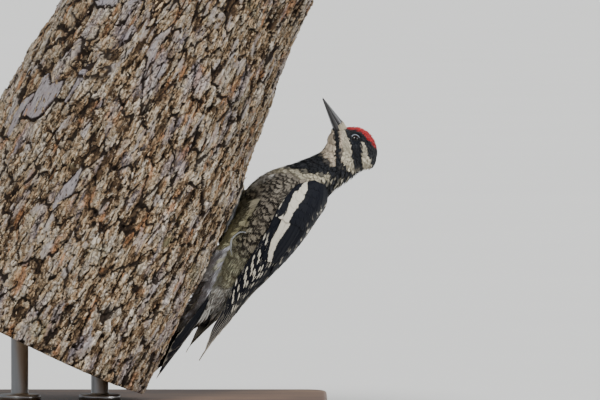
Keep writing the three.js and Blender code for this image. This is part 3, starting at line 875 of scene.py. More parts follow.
@dataclass(frozen=True)
class Markings:
    """The courses of the bird's stripes and patches on the flat drawing of its side.

    An area is a ring of (along, out) corners. A stripe is a line of (along, out, half width).
    """

    crown: tuple = ((187.0, 34.2), (187.4, 38.4), (188.7, 42.6), (188.6, 47.0), (186.9, 51.9), (185.1, 56.5),
                    (185.2, 66), (200, 62), (202, 42), (196, 32))
    crown_border: tuple = ((187.4, 37.0, 0.5), (187.6, 41.5, 1.0), (187.2, 47.0, 1.0), (184.4, 53.2, 2.2),
                           (182.2, 57.2, 3.0), (179.6, 60.4, 2.3))
    eye_stripe: tuple = ((187.2, 38.0, 1.3), (185.2, 41.2, 2.2), (183.8, 44.6, 3.1), (179.7, 47.7, 2.9),
                         (174.8, 50.9, 2.7), (168.5, 54.6, 2.5))
    brow: tuple = (
        (187.0, 46.4, 0.5), (185.4, 49.2, 1.2), (181.6, 52.6, 1.7), (176.8, 56.0, 2.4), (171.0, 58.0, 3.6)
    )
    moustache: tuple = ((187.8, 34.6, 1.9), (184.8, 37.4, 2.1), (179.8, 41.0, 2.2), (174.6, 44.4, 2.7),
                        (169.9, 47.6, 2.6), (166.4, 50.4, 1.4))
    malar: tuple = (
        (184.9, 31.0, 1.5), (180.9, 34.2, 1.7), (176.0, 37.3, 1.5), (171.0, 40.4, 1.5), (164.0, 44.2, 2.0)
    )
    shield: tuple = ((168.6, 30.4), (166.4, 34.0), (165.2, 38.0), (165.6, 46.0), (160.6, 47.6), (158.9, 40.3),
                     (156.4, 30.0), (154.0, 21.5), (150.8, 11.0), (148, -6), (160, -6), (172, 18))
    bib_band: tuple = (
        (147.4, 8.0, 1.5), (151.0, 15.0, 1.7), (153.0, 24.0, 2.2), (153.6, 31.0, 3.0), (156.4, 40.0, 2.4)
    )
    wing_patch: tuple = (
        (150.4, 29.6, 0.8), (146.4, 30.2, 2.0), (143.0, 29.6, 1.9), (140.2, 29.4, 3.3), (136.8, 29.2, 2.5),
        (133.0, 29.3, 2.6), (128.7, 28.9, 1.8), (124.8, 28.6, 2.2), (122.6, 28.0, 3.8), (119.6, 27.8, 3.4),
        (116.0, 27.8, 2.9), (111.5, 28.0, 2.0), (105.0, 28.7, 1.4), (101.0, 29.9, 1.3), (98.8, 30.5, 1.1)
    )
    # a near-white band along the breast's outline in the main view: pale feathers there, brightened into a
    # painted rim highlight
    breast_lit_rim: tuple = ((156.5, 21.0, 2.2), (151.0, 13.0, 3.0), (143.6, 5.4, 3.2), (135.0, -0.6, 2.4))
    alula_line: tuple = ((137.0, 22.6, 0.15), (130.0, 22.3, 0.25), (123.9, 22.9, 0.1))

    def coat(self, points: Array, ragged: float, seed: int) -> dict[str, Array]:
        """The colours and feather marks at places on the body.

        Args:
            points: places in the bird's frame, (N, 3).
            ragged: how far the stripes' edges wander.
            seed: which pattern of wandering and mottling.

        Returns:
            "ground" and "mark" colours, and "habit": chevron, fringe and shaft streak.
        """
        along, out = BIRD.flank_view(points)
        along = along + ragged * noise(points, 2.1, seed)
        out = out + ragged * noise(points, 2.1, seed + 1)
        side = np.abs(points[:, 2])
        back = np.degrees(np.arctan2(side, points[:, 0] - body_axis(points[:, 1])))
        own = hashed(np.floor(points * 7), seed + 2)
        broad = noise(points, 9.0, seed + 3)
        count = len(points)
        ground = np.tile(DRAB, (count, 1))
        mark = np.tile(DUSK, (count, 1))
        chevron = np.full(count, 0.95)
        fringe = np.zeros(count)
        shaft = np.zeros(count)

        def paint(share: Array, colour: Colour, second: Colour, habit: Triple) -> None:
            """Lays a colour, its mark and its habit over what is there.

            Args:
                share: how much is laid at each place.
                colour: the ground colour.
                second: the colour of the marks.
                habit: chevron, fringe and shaft streak.
            """
            nonlocal ground, mark, chevron, fringe, shaft
            ground, mark = mixed(ground, colour, share), mixed(mark, second, share)
            chevron = chevron + (habit[0] - chevron) * share
            fringe = fringe + (habit[1] - fringe) * share
            shaft = shaft + (habit[2] - shaft) * share

        pale = ease(0.35, 0.75, own + 0.25 * broad)
        paint(0.6 * pale, (0.54, 0.51, 0.41), DUSK, (1.0, 0.0, 0.0))
        paint(ease(110, 130, along) * ease(2, 12, out) * 0.8, (0.31, 0.27, 0.22), DUSK, (1.0, 0.0, 0.1))
        belly = ease(13, 3, out) * ease(134, 118, along)
        paint(0.85 * belly, OLIVE, (0.16, 0.145, 0.075), (0.35, 0.0, 0.0))
        low = ease(104, 90, along) * ease(22, 14, out - 0.1 * (along - 80))
        paint(0.9 * low, (0.60, 0.60, 0.41), (0.22, 0.21, 0.14), (0.3, 0.0, 0.1))
        fringe_area = (
            ease(104, 92, along)
            * ease(0.9, -0.9, out - np.interp(along, [50, 70, 95, 104], [9.5, 7.4, 2.6, 1.0]))
        )
        paint(fringe_area, (0.84, 0.85, 0.88), (0.40, 0.40, 0.44), (0.0, 0.0, 0.3))
        vent = ease(80, 70, along) * ease(66, 84, back)
        paint(vent, (0.78, 0.78, 0.73), (0.22, 0.22, 0.23), (0.05, 0.0, 0.3))
        mantle = ease(96, 74, back) * ease(168, 160, along) * ease(62, 74, along)
        paint(mantle, BLACK, BRINDLE, PLAIN)
        spots = mantle * ease(0.50, 0.62, own) * ease(58, 40, back)
        paint(spots, BLACK, BRINDLE, (0.9, 0.35, 0.0))
        rump = ease(76, 66, along) * ease(66, 46, back)
        paint(rump, (0.66, 0.64, 0.60), BLACK, (0.55, 0.0, 0.0))
        cover = ease(66, 58, along) * ease(-2.5, 0.5, out - np.interp(along, [45, 60, 70], [8.5, 12.0, 15.0]))
        paint(cover, BLACK, (0.2, 0.2, 0.2), (0.0, 0.1, 0.0))
        blotch = ease(1.0, -0.5, np.hypot(along - 59.5, out - 15.4) - 2.0)
        paint(blotch, (0.85, 0.84, 0.80), DUSK, PLAIN)
        neck = ease(150, 157, along)
        paint(neck, BLACK, CREAM, PLAIN)
        # painted rim highlight along the breast's outline, over pale feathers
        edge = ease(1.0, -1.0, course_distance(along, out, self.breast_lit_rim))
        paint(edge, (0.95, 0.92, 0.86), (0.3, 0.28, 0.25), (0.2, 0.0, 0.0))
        streaks = neck * ease(0.55, 0.7, own) * ease(172, 166, along)
        paint(streaks, BLACK, CREAM, (0.0, 0.1, 0.75))
        band = ease(0.5, -0.5, course_distance(along, out, self.bib_band))
        paint(band, (0.66, 0.60, 0.45), DRAB, (0.25, 0.0, 0.0))
        shield = ease(0.3, -0.3, area_distance(along, out, self.shield))
        paint(shield, BLACK, CREAM, PLAIN)
        paint(shield * ease(0.955, 0.965, own), BLACK, CREAM, (0.0, 0.5, 0.0))
        fore, above = HEAD.places(points)
        head = ease(-29.5, -27.5, fore + 0.25 * above) * ease(163, 167, along)
        throat = head * ease(163.5, 167, along) * ease(46, 44, out)
        throat = throat * ease(-0.6, 0.6, area_distance(along, out, self.shield))
        paint(throat, (0.74, 0.63, 0.49), (0.50, 0.35, 0.25), (0.0, 0.25, 0.15))
        face = head * ease(42, 45, out + 0.25 * (along - 175))
        paint(face, BLACK, CREAM, PLAIN)
        for course, colour, second, habit in (
            (self.moustache, CREAM, BUFF, (0.0, 0.45, 0.2)),
            (self.brow, CREAM, (0.42, 0.34, 0.24), (0.0, 0.35, 0.25)),
            (self.malar, BLACK, DUSK, PLAIN),
            (self.eye_stripe, BLACK, DUSK, PLAIN),
        ):
            stripe = ease(0.25, -0.25, course_distance(along, out, course))
            paint(stripe * ease(150, 160, along), colour, second, habit)
        low = ease(172.5, 166, along) * head * ease(44, 47, out)
        paint(low * ease(0.45, 0.6, own), (0.50, 0.44, 0.33), BLACK, (0.0, 0.2, 0.8))
        border = ease(0.25, -0.25, course_distance(along, out, self.crown_border))
        paint(border, BLACK, DUSK, PLAIN)
        crown = ease(0.2, -0.2, area_distance(along, out, self.crown))
        paint(crown, RED, (0.36, 0.01, 0.015), (0.0, 0.0, 0.2))
        brightness = 0.80 + 0.28 * hashed(np.floor(points * 7), seed + 5) + 0.2 * noise(points, 4.5, seed + 6)
        chevron = np.clip(chevron * (1 + 0.5 * noise(points, 5.5, seed + 7)), 0, 1)
        return {
            "ground": ground * brightness[:, None],
            "mark": mark * brightness[:, None],
            "habit": np.stack([chevron, fringe, shaft], -1),
        }


MARKINGS = Markings()
# places up the trunk, and how far out from the bark the middle of the body lies there
BODY_AXIS = (
    (20, 11), (46, 13.2), (71, 20.6), (100, 25.4), (129, 29.4), (146, 38.6), (160, 46.4), (177, 55.4)
)


def body_axis(along: Array) -> Array:
    """How far out from the bark the middle of the body lies."""
    knots = np.array(BODY_AXIS)
    return np.interp(along, knots[:, 0], knots[:, 1])


# ---- Skin ---------------------------------------------------------------------------


@dataclass
class Skin:
    """One skin in place of the nodes of flesh, inside them by the coat's depth."""

    coat: "Coat"
    flesh: tuple[str, ...] = ("head", "neck", "torso", "rump", "thigh_left", "thigh_right")
    voxel: float = 0.85
    swell: float = 0.4
    under_eye: Triple = (2.9, 2.9, 2.9)
    # places forward, up and to the side of the bill's root, and the lumps' sizes there
    under_bill: tuple = (((-3.4, -3.8, 0.0), (3.4, 3.0, 2.9)), ((-1.6, -7.2, 0.0), (4.0, 2.0, 2.3)))

    def __post_init__(self) -> None:
        """Merges the flesh, smooths it, lowers it under the coat and unwraps it."""
        self.eyes = [HEAD.eye_centre(side) for side in (-1, 1)]
        self.object = self.merged()
        self.read()
        self.lower()
        self.unwrap()

    def build(self) -> None:
        """Finishes the skin and reports it in place of the flesh nodes."""
        finish, tree = Finish("feathered_skin", 0.8, (("Specular IOR Level", 0.1),)).start()
        tree.colour(tree.trait("ground", "Color"))
        self.object.data.materials.clear()
        self.object.data.materials.append(finish)
        settle_piece(self.object, self.flesh)

    def merged(self) -> Object:
        """The flesh nodes and the flesh under the bill and eyes, remeshed as one closed skin."""
        shapes = []
        for name in self.flesh:
            points, faces = node_shape(name)
            shapes.append(Shape(points + self.swell * point_normals(points, faces), [faces]))
        shapes += [self.lump(HEAD.point(*place), radii) for place, radii in self.under_bill]
        shapes += [self.lump(centre, self.under_eye) for centre in self.eyes]
        raw = add_raw("skin_raw", joined(shapes))
        remesh = raw.modifiers.new("one_skin", "REMESH")
        remesh.mode = "VOXEL"
        remesh.voxel_size = self.voxel / 1000
        soften = raw.modifiers.new("soften", "SMOOTH")
        soften.factor = 0.5
        soften.iterations = 14
        skin = linked("skin", evaluated_mesh(raw))
        bpy.data.objects.remove(raw)
        return skin

    @staticmethod
    def lump(centre: Array, radii: Triple) -> Shape:
        """A closed rounded lump along the head's axes.

        Args:
            centre: its middle.
            radii: its reach along, above and beside the bill's line.

        Returns:
            The lump.
        """
        polar = np.linspace(0, math.pi, 12)
        line = np.cos(polar)[:, None] * HEAD.forward * radii[0] + centre
        ring = np.linspace(0, 2 * math.pi, 16, endpoint=False)
        sideways = np.cos(ring)[:, None] * HEAD.crownward * radii[1]
        sideways = sideways + np.sin(ring)[:, None] * np.array([0, 0, radii[2]])
        points = line[:, None] + sideways[None] * np.maximum(np.sin(polar), 0.02)[:, None, None]
        made = closed_rings(points.reshape(-1, 3), 12, 16, {})
        return Shape(made.points, made.faces)

    def read(self) -> None:
        """Reads the skin's points, faces and normals into arrays."""
        mesh = self.object.data
        points = np.empty(len(mesh.vertices) * 3)
        mesh.vertices.foreach_get("co", points)
        self.points = BIRD.to_bird(points.reshape(-1, 3))
        faces = np.empty(len(mesh.loops), np.int32)
        mesh.loops.foreach_get("vertex_index", faces)
        self.quads = faces.reshape(-1, 4)
        self.normals = point_normals(self.points, self.quads)
        self.even_normals()

    def even_normals(self) -> None:
        """Averages the normals with their neighbours', for feathers that lie evenly."""
        for _ in range(6):
            total = np.zeros_like(self.normals)
            for a, b in ((0, 1), (1, 2), (2, 3), (3, 0)):
                np.add.at(total, self.quads[:, a], self.normals[self.quads[:, b]])
                np.add.at(total, self.quads[:, b], self.normals[self.quads[:, a]])
            self.normals = unit(total)

    def lower(self) -> None:
        """Sinks the skin under the coat and gives it the coat's colours."""
        fore, above = HEAD.places(self.points)
        head = ease(-5, -10, fore) * ease(-7, -2, above + 0.25 * fore + 4)
        depth = (
            self.coat.depth(self.points) + self.swell - 1.15 * head
            - 0.35 * ease(150, 165, self.points[:, 1])
        )
        self.points = self.points - self.normals * depth[:, None]
        mesh = self.object.data
        mesh.vertices.foreach_set("co", BIRD.to_world(self.points).astype(np.float32).ravel())
        colours = MARKINGS.coat(self.points, 0.3, SEED)
        for trait, values in (("ground", colours["ground"] * 0.75), ("mark", colours["mark"])):
            layer = mesh.attributes.new(trait, "FLOAT_VECTOR", "POINT")
            layer.data.foreach_set("vector", values.astype(np.float32).ravel())
        mesh.polygons.foreach_set("use_smooth", np.ones(len(mesh.polygons), bool))
        mesh.update()
        self.tree = BVHTree.FromPolygons(self.points.tolist(), self.quads.tolist())

    def unwrap(self) -> None:
        """Unwraps the skin's own shape into its bake map."""
        mesh = self.object.data
        while mesh.uv_layers:
            mesh.uv_layers.remove(mesh.uv_layers[0])
        mesh.uv_layers.new(name="OFBake")
        bpy.context.view_layer.objects.active = self.object
        self.object.select_set(True)
        bpy.ops.object.mode_set(mode="EDIT")
        bpy.ops.mesh.select_all(action="SELECT")
        bpy.ops.uv.smart_project(angle_limit=math.radians(66), island_margin=0.004)
        bpy.ops.object.mode_set(mode="OBJECT")
        uv = np.empty(len(mesh.loops) * 2, np.float32)
        mesh.uv_layers["OFBake"].uv.foreach_get("vector", uv)
        self.uv = uv.reshape(-1, 4, 2)

    def nearest(self, points: Array) -> tuple[Array, Array]:
        """The nearest places on the skin and the even normals there.

        Args:
            points: places in the bird's frame, (..., 3).

        Returns:
            The places and the unit vectors, as many as the points.
        """
        places, faces = [], []
        for point in points.reshape(-1, 3).tolist():
            place, _, face, _ = self.tree.find_nearest(point)
            places.append(place[:])
            faces.append(face)
        normals = unit(self.normals[self.quads[faces]].mean(1))
        return np.array(places).reshape(points.shape), normals.reshape(points.shape)

    def bake_place(self, points: Array) -> Array:
        """Where the skin nearest each point lies on the bake map."""
        faces = [self.tree.find_nearest(point)[2] for point in points.tolist()]
        return self.uv[faces].mean(1)

    def scattered(self, spacing: Callable[[Array], Array], rng: np.random.Generator) -> dict[str, Array]:
        """Roots over the whole skin, nowhere closer than the spacing there.

        Args:
            spacing: gives the distance between roots at each of many places.
            rng: where the random draws come from.

        Returns:
            The roots' "points", "normals" and "uv".
        """
        corners = self.points[self.quads]
        across = np.cross(corners[:, 2] - corners[:, 0], corners[:, 3] - corners[:, 1])
        area = np.linalg.norm(across, axis=1) / 2
        wanted = area / spacing(corners.mean(1)) ** 2
        count = int(wanted.sum() * 7)
        faces = rng.choice(len(area), count, p=wanted / wanted.sum())
        s, t = rng.random((2, count, 1))
        weights = np.concatenate([(1 - s) * (1 - t), s * (1 - t), s * t, (1 - s) * t], axis=1)[..., None]
        points = (corners[faces] * weights).sum(1)
        reach = spacing(points)
        index = KDTree(count)
        for i, point in enumerate(points.tolist()):
            index.insert(point, i)
        index.balance()
        open_seats = np.ones(count, bool)
        kept = []
        for i in range(count):
            if open_seats[i]:
                kept.append(i)
                for _, other, _ in index.find_range(points[i].tolist(), float(reach[i])):
                    open_seats[other] = False
        kept = np.array(kept)
        normals = unit((self.normals[self.quads[faces[kept]]] * weights[kept]).sum(1))
        return {
            "points": points[kept], "normals": normals, "uv": (self.uv[faces[kept]] * weights[kept]).sum(1)
        }


def add_raw(name: str, shape: Shape) -> Object:
    """A working object from bird-frame points, to be replaced before the end."""
    placed = Shape(BIRD.to_world(shape.points), shape.faces)
    return make_object(name, placed, bpy.data.materials.get("working") or bpy.data.materials.new("working"))


def evaluated_mesh(source: Object) -> bpy.types.Mesh:
    """The plain mesh that an object's modifiers make."""
    graph = bpy.context.evaluated_depsgraph_get()
    return bpy.data.meshes.new_from_object(source.evaluated_get(graph), depsgraph=graph)


# ---- Coat ---------------------------------------------------------------------------


class Tract(Enum):
    """The feather tracts, each a piece of the coat."""

    FACE = "face_feathers"
    CROWN = "crown_feathers"
    THROAT = "throat_feathers"
    NECK = "neck_feathers"
    BREAST = "breast_feathers"
    FLANK_LEFT = "flank_feathers_left"
    FLANK_RIGHT = "flank_feathers_right"
    MANTLE = "mantle_feathers"
    VENT = "vent_feathers"
    THIGH = "thigh_feathers"


@dataclass(frozen=True)
class Coat:
    """The small feathers over the skin, and how they grow from bill to tail."""

    # places out from the bark and up the trunk, from the bill's root to the tail
    flow_knots: tuple = ((40, 191.5), (49, 185), (55, 178.5), (50.5, 169), (45, 158), (37, 144), (29.4, 127),
                         (25.6, 100), (20.6, 71), (13.2, 46), (9, 26))
    # distance behind the bill's root, and the feathers' length there
    lengths: tuple = (
        (0, 1.9), (7, 2.3), (15, 3.2), (23, 4.6), (33, 6.2), (48, 8.2), (70, 10.4), (100, 11.5), (140, 13.5)
    )
    patch: float = 0.003
    # least and greatest length of the feathers of one build, with their lobes and rings
    builds: tuple = ((0, 3.1, 3, 4), (3.1, 6.0, 5, 4), (6.0, 99, 9, 5))
    loose_lobes: int = 5
    loose_rings: int = 4

    def travel(self, points: Array) -> tuple[Array, Array]:
        """How far behind the bill's root places lie, and which way feathers point there.

        Args:
            points: places in the bird's frame, (N, 3).

        Returns:
            The distances, and unit vectors.
        """
        knots = np.array([(*k, 0.0) for k in self.flow_knots], float)
        steps = np.diff(knots, axis=0)
        lengths = np.linalg.norm(steps, axis=1)
        starts = np.concatenate([[0], np.cumsum(lengths)])[:-1]
        flat = points * np.array([1, 1, 0.0])
        best = np.full(len(points), np.inf)
        behind = np.zeros(len(points))
        lie = np.zeros_like(points)
        for knot, step, length, start in zip(knots[:-1], steps, lengths, starts):
            t = np.clip((flat - knot) @ step / length**2, 0, 1)
            gap = np.linalg.norm(flat - knot - t[:, None] * step, axis=1)
            behind = np.where(gap < best, start + t * length, behind)
            best = np.minimum(best, gap)
            middle = np.linalg.norm(flat - knot - 0.5 * step, axis=1)
            lie += np.exp(-((middle / (0.45 * length + 5)) ** 2))[:, None] * step / length
        return behind, unit(lie)

    def length(self, points: Array) -> Array:
        """How long the feathers are at each place.

        Args:
            points: places in the bird's frame, (N, 3).

        Returns:
            The lengths, in millimetres.
        """
        behind, _ = self.travel(points)
        sizes = np.array(self.lengths)
        length = np.interp(behind, sizes[:, 0], sizes[:, 1])
        legs = ease(13, 9, points[:, 0]) * ease(90, 95, points[:, 1]) * ease(120, 114, points[:, 1])
        vent = ease(84, 66, points[:, 1]) * ease(2, -5, points[:, 0] - body_axis(points[:, 1]))
        short = ease(66, 50, points[:, 1]) * ease(-7, -1, points[:, 0] - body_axis(points[:, 1]))
        return length * (1 - 0.45 * legs) * (1 + 0.45 * vent) * (1 - 0.68 * short)

    def spacing(self, points: Array) -> Array:
        """How far apart the feathers' roots are."""
        return 0.26 + 0.2 * self.length(points)

    def depth(self, points: Array) -> Array:
        """How deep the coat is over the skin."""
        return np.clip(0.12 + 0.18 * self.length(points), 0.4, 2.1)

    def fluff(self, points: Array) -> Array:
        """How much farther than the coat's depth the feathers' tips stand up.

        Args:
            points: places in the bird's frame, (N, 3).

        Returns:
            The extra heights, in millimetres.
        """
        fore, above = HEAD.places(points)
        dorsal = points[:, 0] - body_axis(points[:, 1])
        nape = ease(153, 163, points[:, 1]) * ease(183, 176, points[:, 1]) * ease(-1, 6, dorsal)
        crown = ease(-1.0, 2.0, above) * ease(2.0, -2.0, fore) * ease(-20, -12, fore)
        return 2.2 * nape + 0.9 * crown

    def tract(self, points: Array) -> Array:
        """Each place's tract, as its index in Tract.

        Args:
            points: places in the bird's frame, (N, 3).

        Returns:
            One index for each place.
        """
        fore, above = HEAD.places(points)
        number = {tract: place for place, tract in enumerate(Tract)}
        x, y, z = points.T
        dorsal = x - body_axis(y)
        chosen = np.where(z > 0, number[Tract.FLANK_LEFT], number[Tract.FLANK_RIGHT])
        chosen = np.where(dorsal > 4, number[Tract.MANTLE], chosen)
        chosen = np.where((y > 118) & (dorsal < 2), number[Tract.BREAST], chosen)
        chosen = np.where((y < 80) & (dorsal < 0), number[Tract.VENT], chosen)
        chosen = np.where(
            (x < 11) & (np.abs(y - 104) < 12) & (np.abs(z) > 3), number[Tract.THIGH], chosen
        )
        chosen = np.where(y > 148, number[Tract.NECK], chosen)
        head = np.hypot(fore + 14.5, above + 2.5) < 15.5
        chosen = np.where(head, number[Tract.FACE], chosen)
        chosen = np.where(head & (above > 2.4), number[Tract.CROWN], chosen)
        return np.where(head & (above < -8.5), number[Tract.THROAT], chosen)

    def covered(self, points: Array, normals: Array) -> Array:
        """Whether a wing lies over each place.

        Args:
            points: places in the bird's frame, (N, 3).
            normals: the skin's unit vectors there.

        Returns:
            True where one does.
        """
        trees = []
        for name in ("wing_left", "wing_right"):
            shell, faces = node_shape(name)
            trees.append(BVHTree.FromPolygons(shell.tolist(), faces.tolist()))
        result = np.zeros(len(points), bool)
        for i, (point, normal) in enumerate(zip(points.tolist(), normals.tolist())):
            result[i] = any(tree.ray_cast(point, normal, 7.0)[0] is not None for tree in trees)
        return result

    def build(self, skin: Skin, bill: "Bill") -> None:
        """Makes a piece of each tract of feathers.

        Args:
            skin: what the feathers grow from.
            bill: whose nostrils the face's bristles cover.
        """
        plumage = (("Specular IOR Level", 0.22), ("Sheen Weight", 0.05))
        feather = FeatherFinish("contour_feathers", 0.7, plumage).build(vane_group())
        for tract, shape in self.grow(skin, bill, np.random.default_rng(SEED)).items():
            add_piece(tract.value, shape, feather)

    def grow(self, skin: Skin, bill: "Bill", rng: np.random.Generator) -> dict[Tract, Shape]:
        """Grows every small feather from its root on the skin.

        Args:
            skin: what the feathers grow from.
            bill: whose nostrils the face's bristles cover.
            rng: where the random draws come from.

        Returns:
            The feathers of each tract.
        """
        roots = skin.scattered(self.spacing, rng)
        roots = {k: v[self.open_places(roots, skin)] for k, v in roots.items()}
        points = roots["points"]
        _, lie = self.travel(points)
        twist = rng.normal(0, 0.09, len(points))[:, None] * np.cross(roots["normals"], lie)
        heading = tangent_to(lie + twist, roots["normals"])
        length = self.length(points) * rng.uniform(0.86, 1.16, len(points))
        path = self.path(skin, points, heading, length)
        roots |= {"length": length, "own": rng.random(len(points)),
                  "depth": self.depth(points), "fluff": self.fluff(points)}
        seen = points + 0.55 * length[:, None] * heading + 0.8 * roots["depth"][:, None] * roots["normals"]
        roots |= MARKINGS.coat(seen, 0.35, SEED)
        tracts = self.tract(points)
        grown = {}
        for number, tract in enumerate(Tract):
            shapes = []
            for low, high, lobes, rings in self.builds:
                chosen = (tracts == number) & (length >= low) & (length < high)
                if chosen.any():
                    some = {k: v[chosen] for k, v in roots.items()}
                    shapes.append(
                        self.feathers(some, {k: v[chosen] for k, v in path.items()}, lobes, rings, rng)
                    )
            if shapes:
                grown[tract] = joined(shapes)
        grown[Tract.FACE] = joined([grown[Tract.FACE], self.bristles(skin, bill, rng)])
        grown[Tract.THIGH] = joined([grown[Tract.THIGH], self.apron(skin, rng)])
        return grown

    def apron(self, skin: Skin, rng: np.random.Generator) -> Shape:
        """The loose feathers that hang over the shanks and beside the bark, and a curled one.

        Args:
            skin: the bird's skin.
            rng: where the random draws come from.

        Returns:
            All of them in one shape.
        """
        over_shank = self.hanging(
            skin, rng, count=760, heading=(-0.66, -0.70, 0.14), reach=(3.2, 13.0), slim=0.6,
            seats=((80, 4.0, 7.0), (100, 5.2, 10.0), (116, 6.4, 12.0), (130, 9.5, 13.0)),
        )
        beside_bark = self.hanging(
            skin, rng, count=340, heading=(-0.3, -0.95, 0.03), reach=(9.0, 15.0), slim=0.42,
            seats=((56, 7.0, 5.5), (70, 6.5, 6.5), (84, 5.0, 8.0), (106, 3.6, 11.0)),
        )
        number = len(beside_bark.points)
        per_blade = blade_points(self.loose_rings)
        shade = 0.5 + 0.5 * rng.random((number // per_blade, 1))
        beside_bark.traits["ground"] = shade.repeat(per_blade, 0) * np.array([0.86, 0.88, 0.95])
        beside_bark.traits["mark"] = np.tile((0.34, 0.34, 0.39), (number, 1))
        beside_bark.traits["habit"] = np.tile((0.0, 0.1, 0.5), (number, 1))
        return joined([over_shank, beside_bark, self.curl(skin, rng)])

    def hanging(
        self, skin: Skin, rng: np.random.Generator, count: int, seats: tuple, heading: Triple,
        reach: tuple[float, float], slim: float,
    ) -> Shape:
        """Loose feathers that leave the skin and hang in the open.

        Args:
            skin: the bird's skin.
            rng: where the random draws come from.
            count: how many feathers.
            seats: up the trunk, out from the bark and to the side, of the line they start along.
            heading: which way they hang on the left side.
            reach: their least and greatest length.
            slim: how wide they are, against a body feather.

        Returns:
            The feathers.
        """
        steps, knots = 5, np.array(seats)
        side = rng.choice((-1.0, 1.0), count)
        y = rng.uniform(knots[0, 0], knots[-1, 0], count)
        high, wide = (np.interp(y, knots[:, 0], knots[:, i]) for i in (1, 2))
        points, normals = skin.nearest(np.stack([high + rng.uniform(-1.0, 2.4, count), y, side * wide], -1))
        line = np.array(heading) * np.stack([np.ones(count), np.ones(count), side], -1)
        line = unit(line + np.stack([rng.normal(0, 0.07, count), rng.normal(0, 0.06, count), 0 * side], -1))
        length = np.clip((points[:, 0] - 0.6) / -line[:, 0] * rng.uniform(0.75, 1.0, count), *reach)
        normal = np.stack([0.25 + 0 * side, 0 * side, side], -1)
        run = np.linspace(0, 1, steps + 1)
        place = points[:, None] + line[:, None] * (length[:, None] * run[None])[..., None]
        place[..., 2] += side[:, None] * 1.3 * run[None]
        place[..., 0] = np.maximum(place[..., 0], 0.5)
        path = {"place": place, "heading": np.repeat(line[:, None], steps + 1, 1),
                "normal": np.repeat(tangent_to(normal, line)[:, None], steps + 1, 1)}
        roots = {
            "points": points, "normals": normals, "uv": skin.bake_place(points), "length": length,
            "own": rng.random(count), "depth": np.full(count, 0.9), "fluff": np.zeros(count), "slim": slim
        }
        roots |= MARKINGS.coat(points + 0.5 * length[:, None] * line, 0.5, SEED)
        return self.feathers(roots, path, self.loose_lobes, self.loose_rings, rng)

    def curl(self, skin: Skin, rng: np.random.Generator) -> Shape:
        """A pale flank feather that has come loose and hangs in a curl.

        Args:
            skin: the bird's skin.
            rng: where the random draws come from.

        Returns:
            The feather's barbs as blades.
        """
        count, steps = 18, 12
        course = smooth_line(
            np.array([(108.5, 12.5), (105.8, 7.4), (101.0, 6.0), (96.5, 7.6), (92.6, 10.2)]), steps + 1
        )
        aside, radius = 11.0, BIRD.trunk_radius
        x = (course[:, 1] + radius - aside * math.sin(BIRD.cling)) / math.cos(BIRD.cling) - radius
        line, normal = skin.nearest(np.stack([x, course[:, 0], np.full(steps + 1, aside)], -1))
        along = np.linspace(0, 1, steps + 1)
        heading = unit(np.gradient(line, axis=0))
        side = np.cross(normal, heading)
        off = np.linspace(-0.5, 0.5, count) + rng.normal(0, 0.06, count)
        width = np.interp(along, [0, 0.25, 0.8, 1], [0.3, 1.0, 1.0, 0.6])
        rise = 1.9 + 0.4 * (1 - off[:, None] ** 2) + 0.3 * along[None]
        centre = (
            line[None] + side[None] * (off[:, None] * width[None])[..., None]
            + normal[None] * rise[..., None]
        )
        half = 0.11 * np.interp(along, [0, 0.5, 1], [0.8, 1, 0])[None] * np.ones((count, 1))
        made = blades(
            centre, side[None] * np.ones((count, 1, 1)), normal[None] * np.ones((count, 1, 1)), half,
            0.4 * half
        )
        number = len(made.points)
        made.traits = {
            "place": np.tile((0.0, 0.5, 0.5), (number, 1)),
            "ground": np.tile((0.60, 0.63, 0.66), (number, 1)),
            "mark": np.tile((0.5, 0.5, 0.5), (number, 1)), "habit": np.zeros((number, 3))
        }
        made.bake = np.repeat(skin.bake_place(centre[:, 0]), number // count, axis=0)
        return made

    def bristles(self, skin: Skin, bill: "Bill", rng: np.random.Generator) -> Shape:
        """The pale bristles over the nostrils, as slim blades.

        Args:
            skin: the bird's skin.
            bill: the bill they grow beside.
            rng: where the random draws come from.

        Returns:
            The bristles.
        """
        lines = bill.tufts(rng)
        made = blades(lines["centre"], lines["side"], lines["normal"], lines["half"], 0.3 * lines["half"])
        count = len(lines["half"])
        each = len(made.points) // count
        own = rng.random((count, 1))
        ground = mixed(np.tile(CREAM, (count, 1)), np.array((0.36, 0.27, 0.17)), own[:, 0] * 0.45)
        made.traits = {
            "place": np.repeat(
                np.concatenate([np.zeros((count, 1)), 0.5 + 0 * own, own], axis=1), each, axis=0
            ),
            "ground": np.repeat(ground, each, axis=0), "mark": np.repeat(ground, each, axis=0),
            "habit": np.zeros((count * each, 3))
        }
        made.bake = np.repeat(skin.bake_place(lines["centre"][:, 0]), each, axis=0)
        return made

    def open_places(self, roots: dict[str, Array], skin: Skin) -> Array:
        """Which roots are clear of the eyes, the bill and the wings.

        Args:
            roots: the roots' points and normals.
            skin: the skin, which knows where the eyes are.

        Returns:
            True for each root that is clear.
        """
        points, normals = roots["points"], roots["normals"]
        clear = np.ones(len(points), bool)
        _, lie = self.travel(points)
        for eye in skin.eyes:
            ahead = points - eye + 0.85 * unit(lie)
            clear &= np.linalg.norm(ahead * np.array([1, 1, 0.45]), axis=1) > 3.05
        fore, above = HEAD.places(points)
        in_bill = (fore > -2.2) & (above > -6.6) & (above < -0.5) & (np.abs(points[:, 2]) < 3.1)
        clear &= ~in_bill
        ahead = points + 0.8 * self.length(points)[:, None] * tangent_to(lie, normals)
        hidden = self.covered(points, normals) & self.covered(ahead, normals)
        return clear & ~hidden

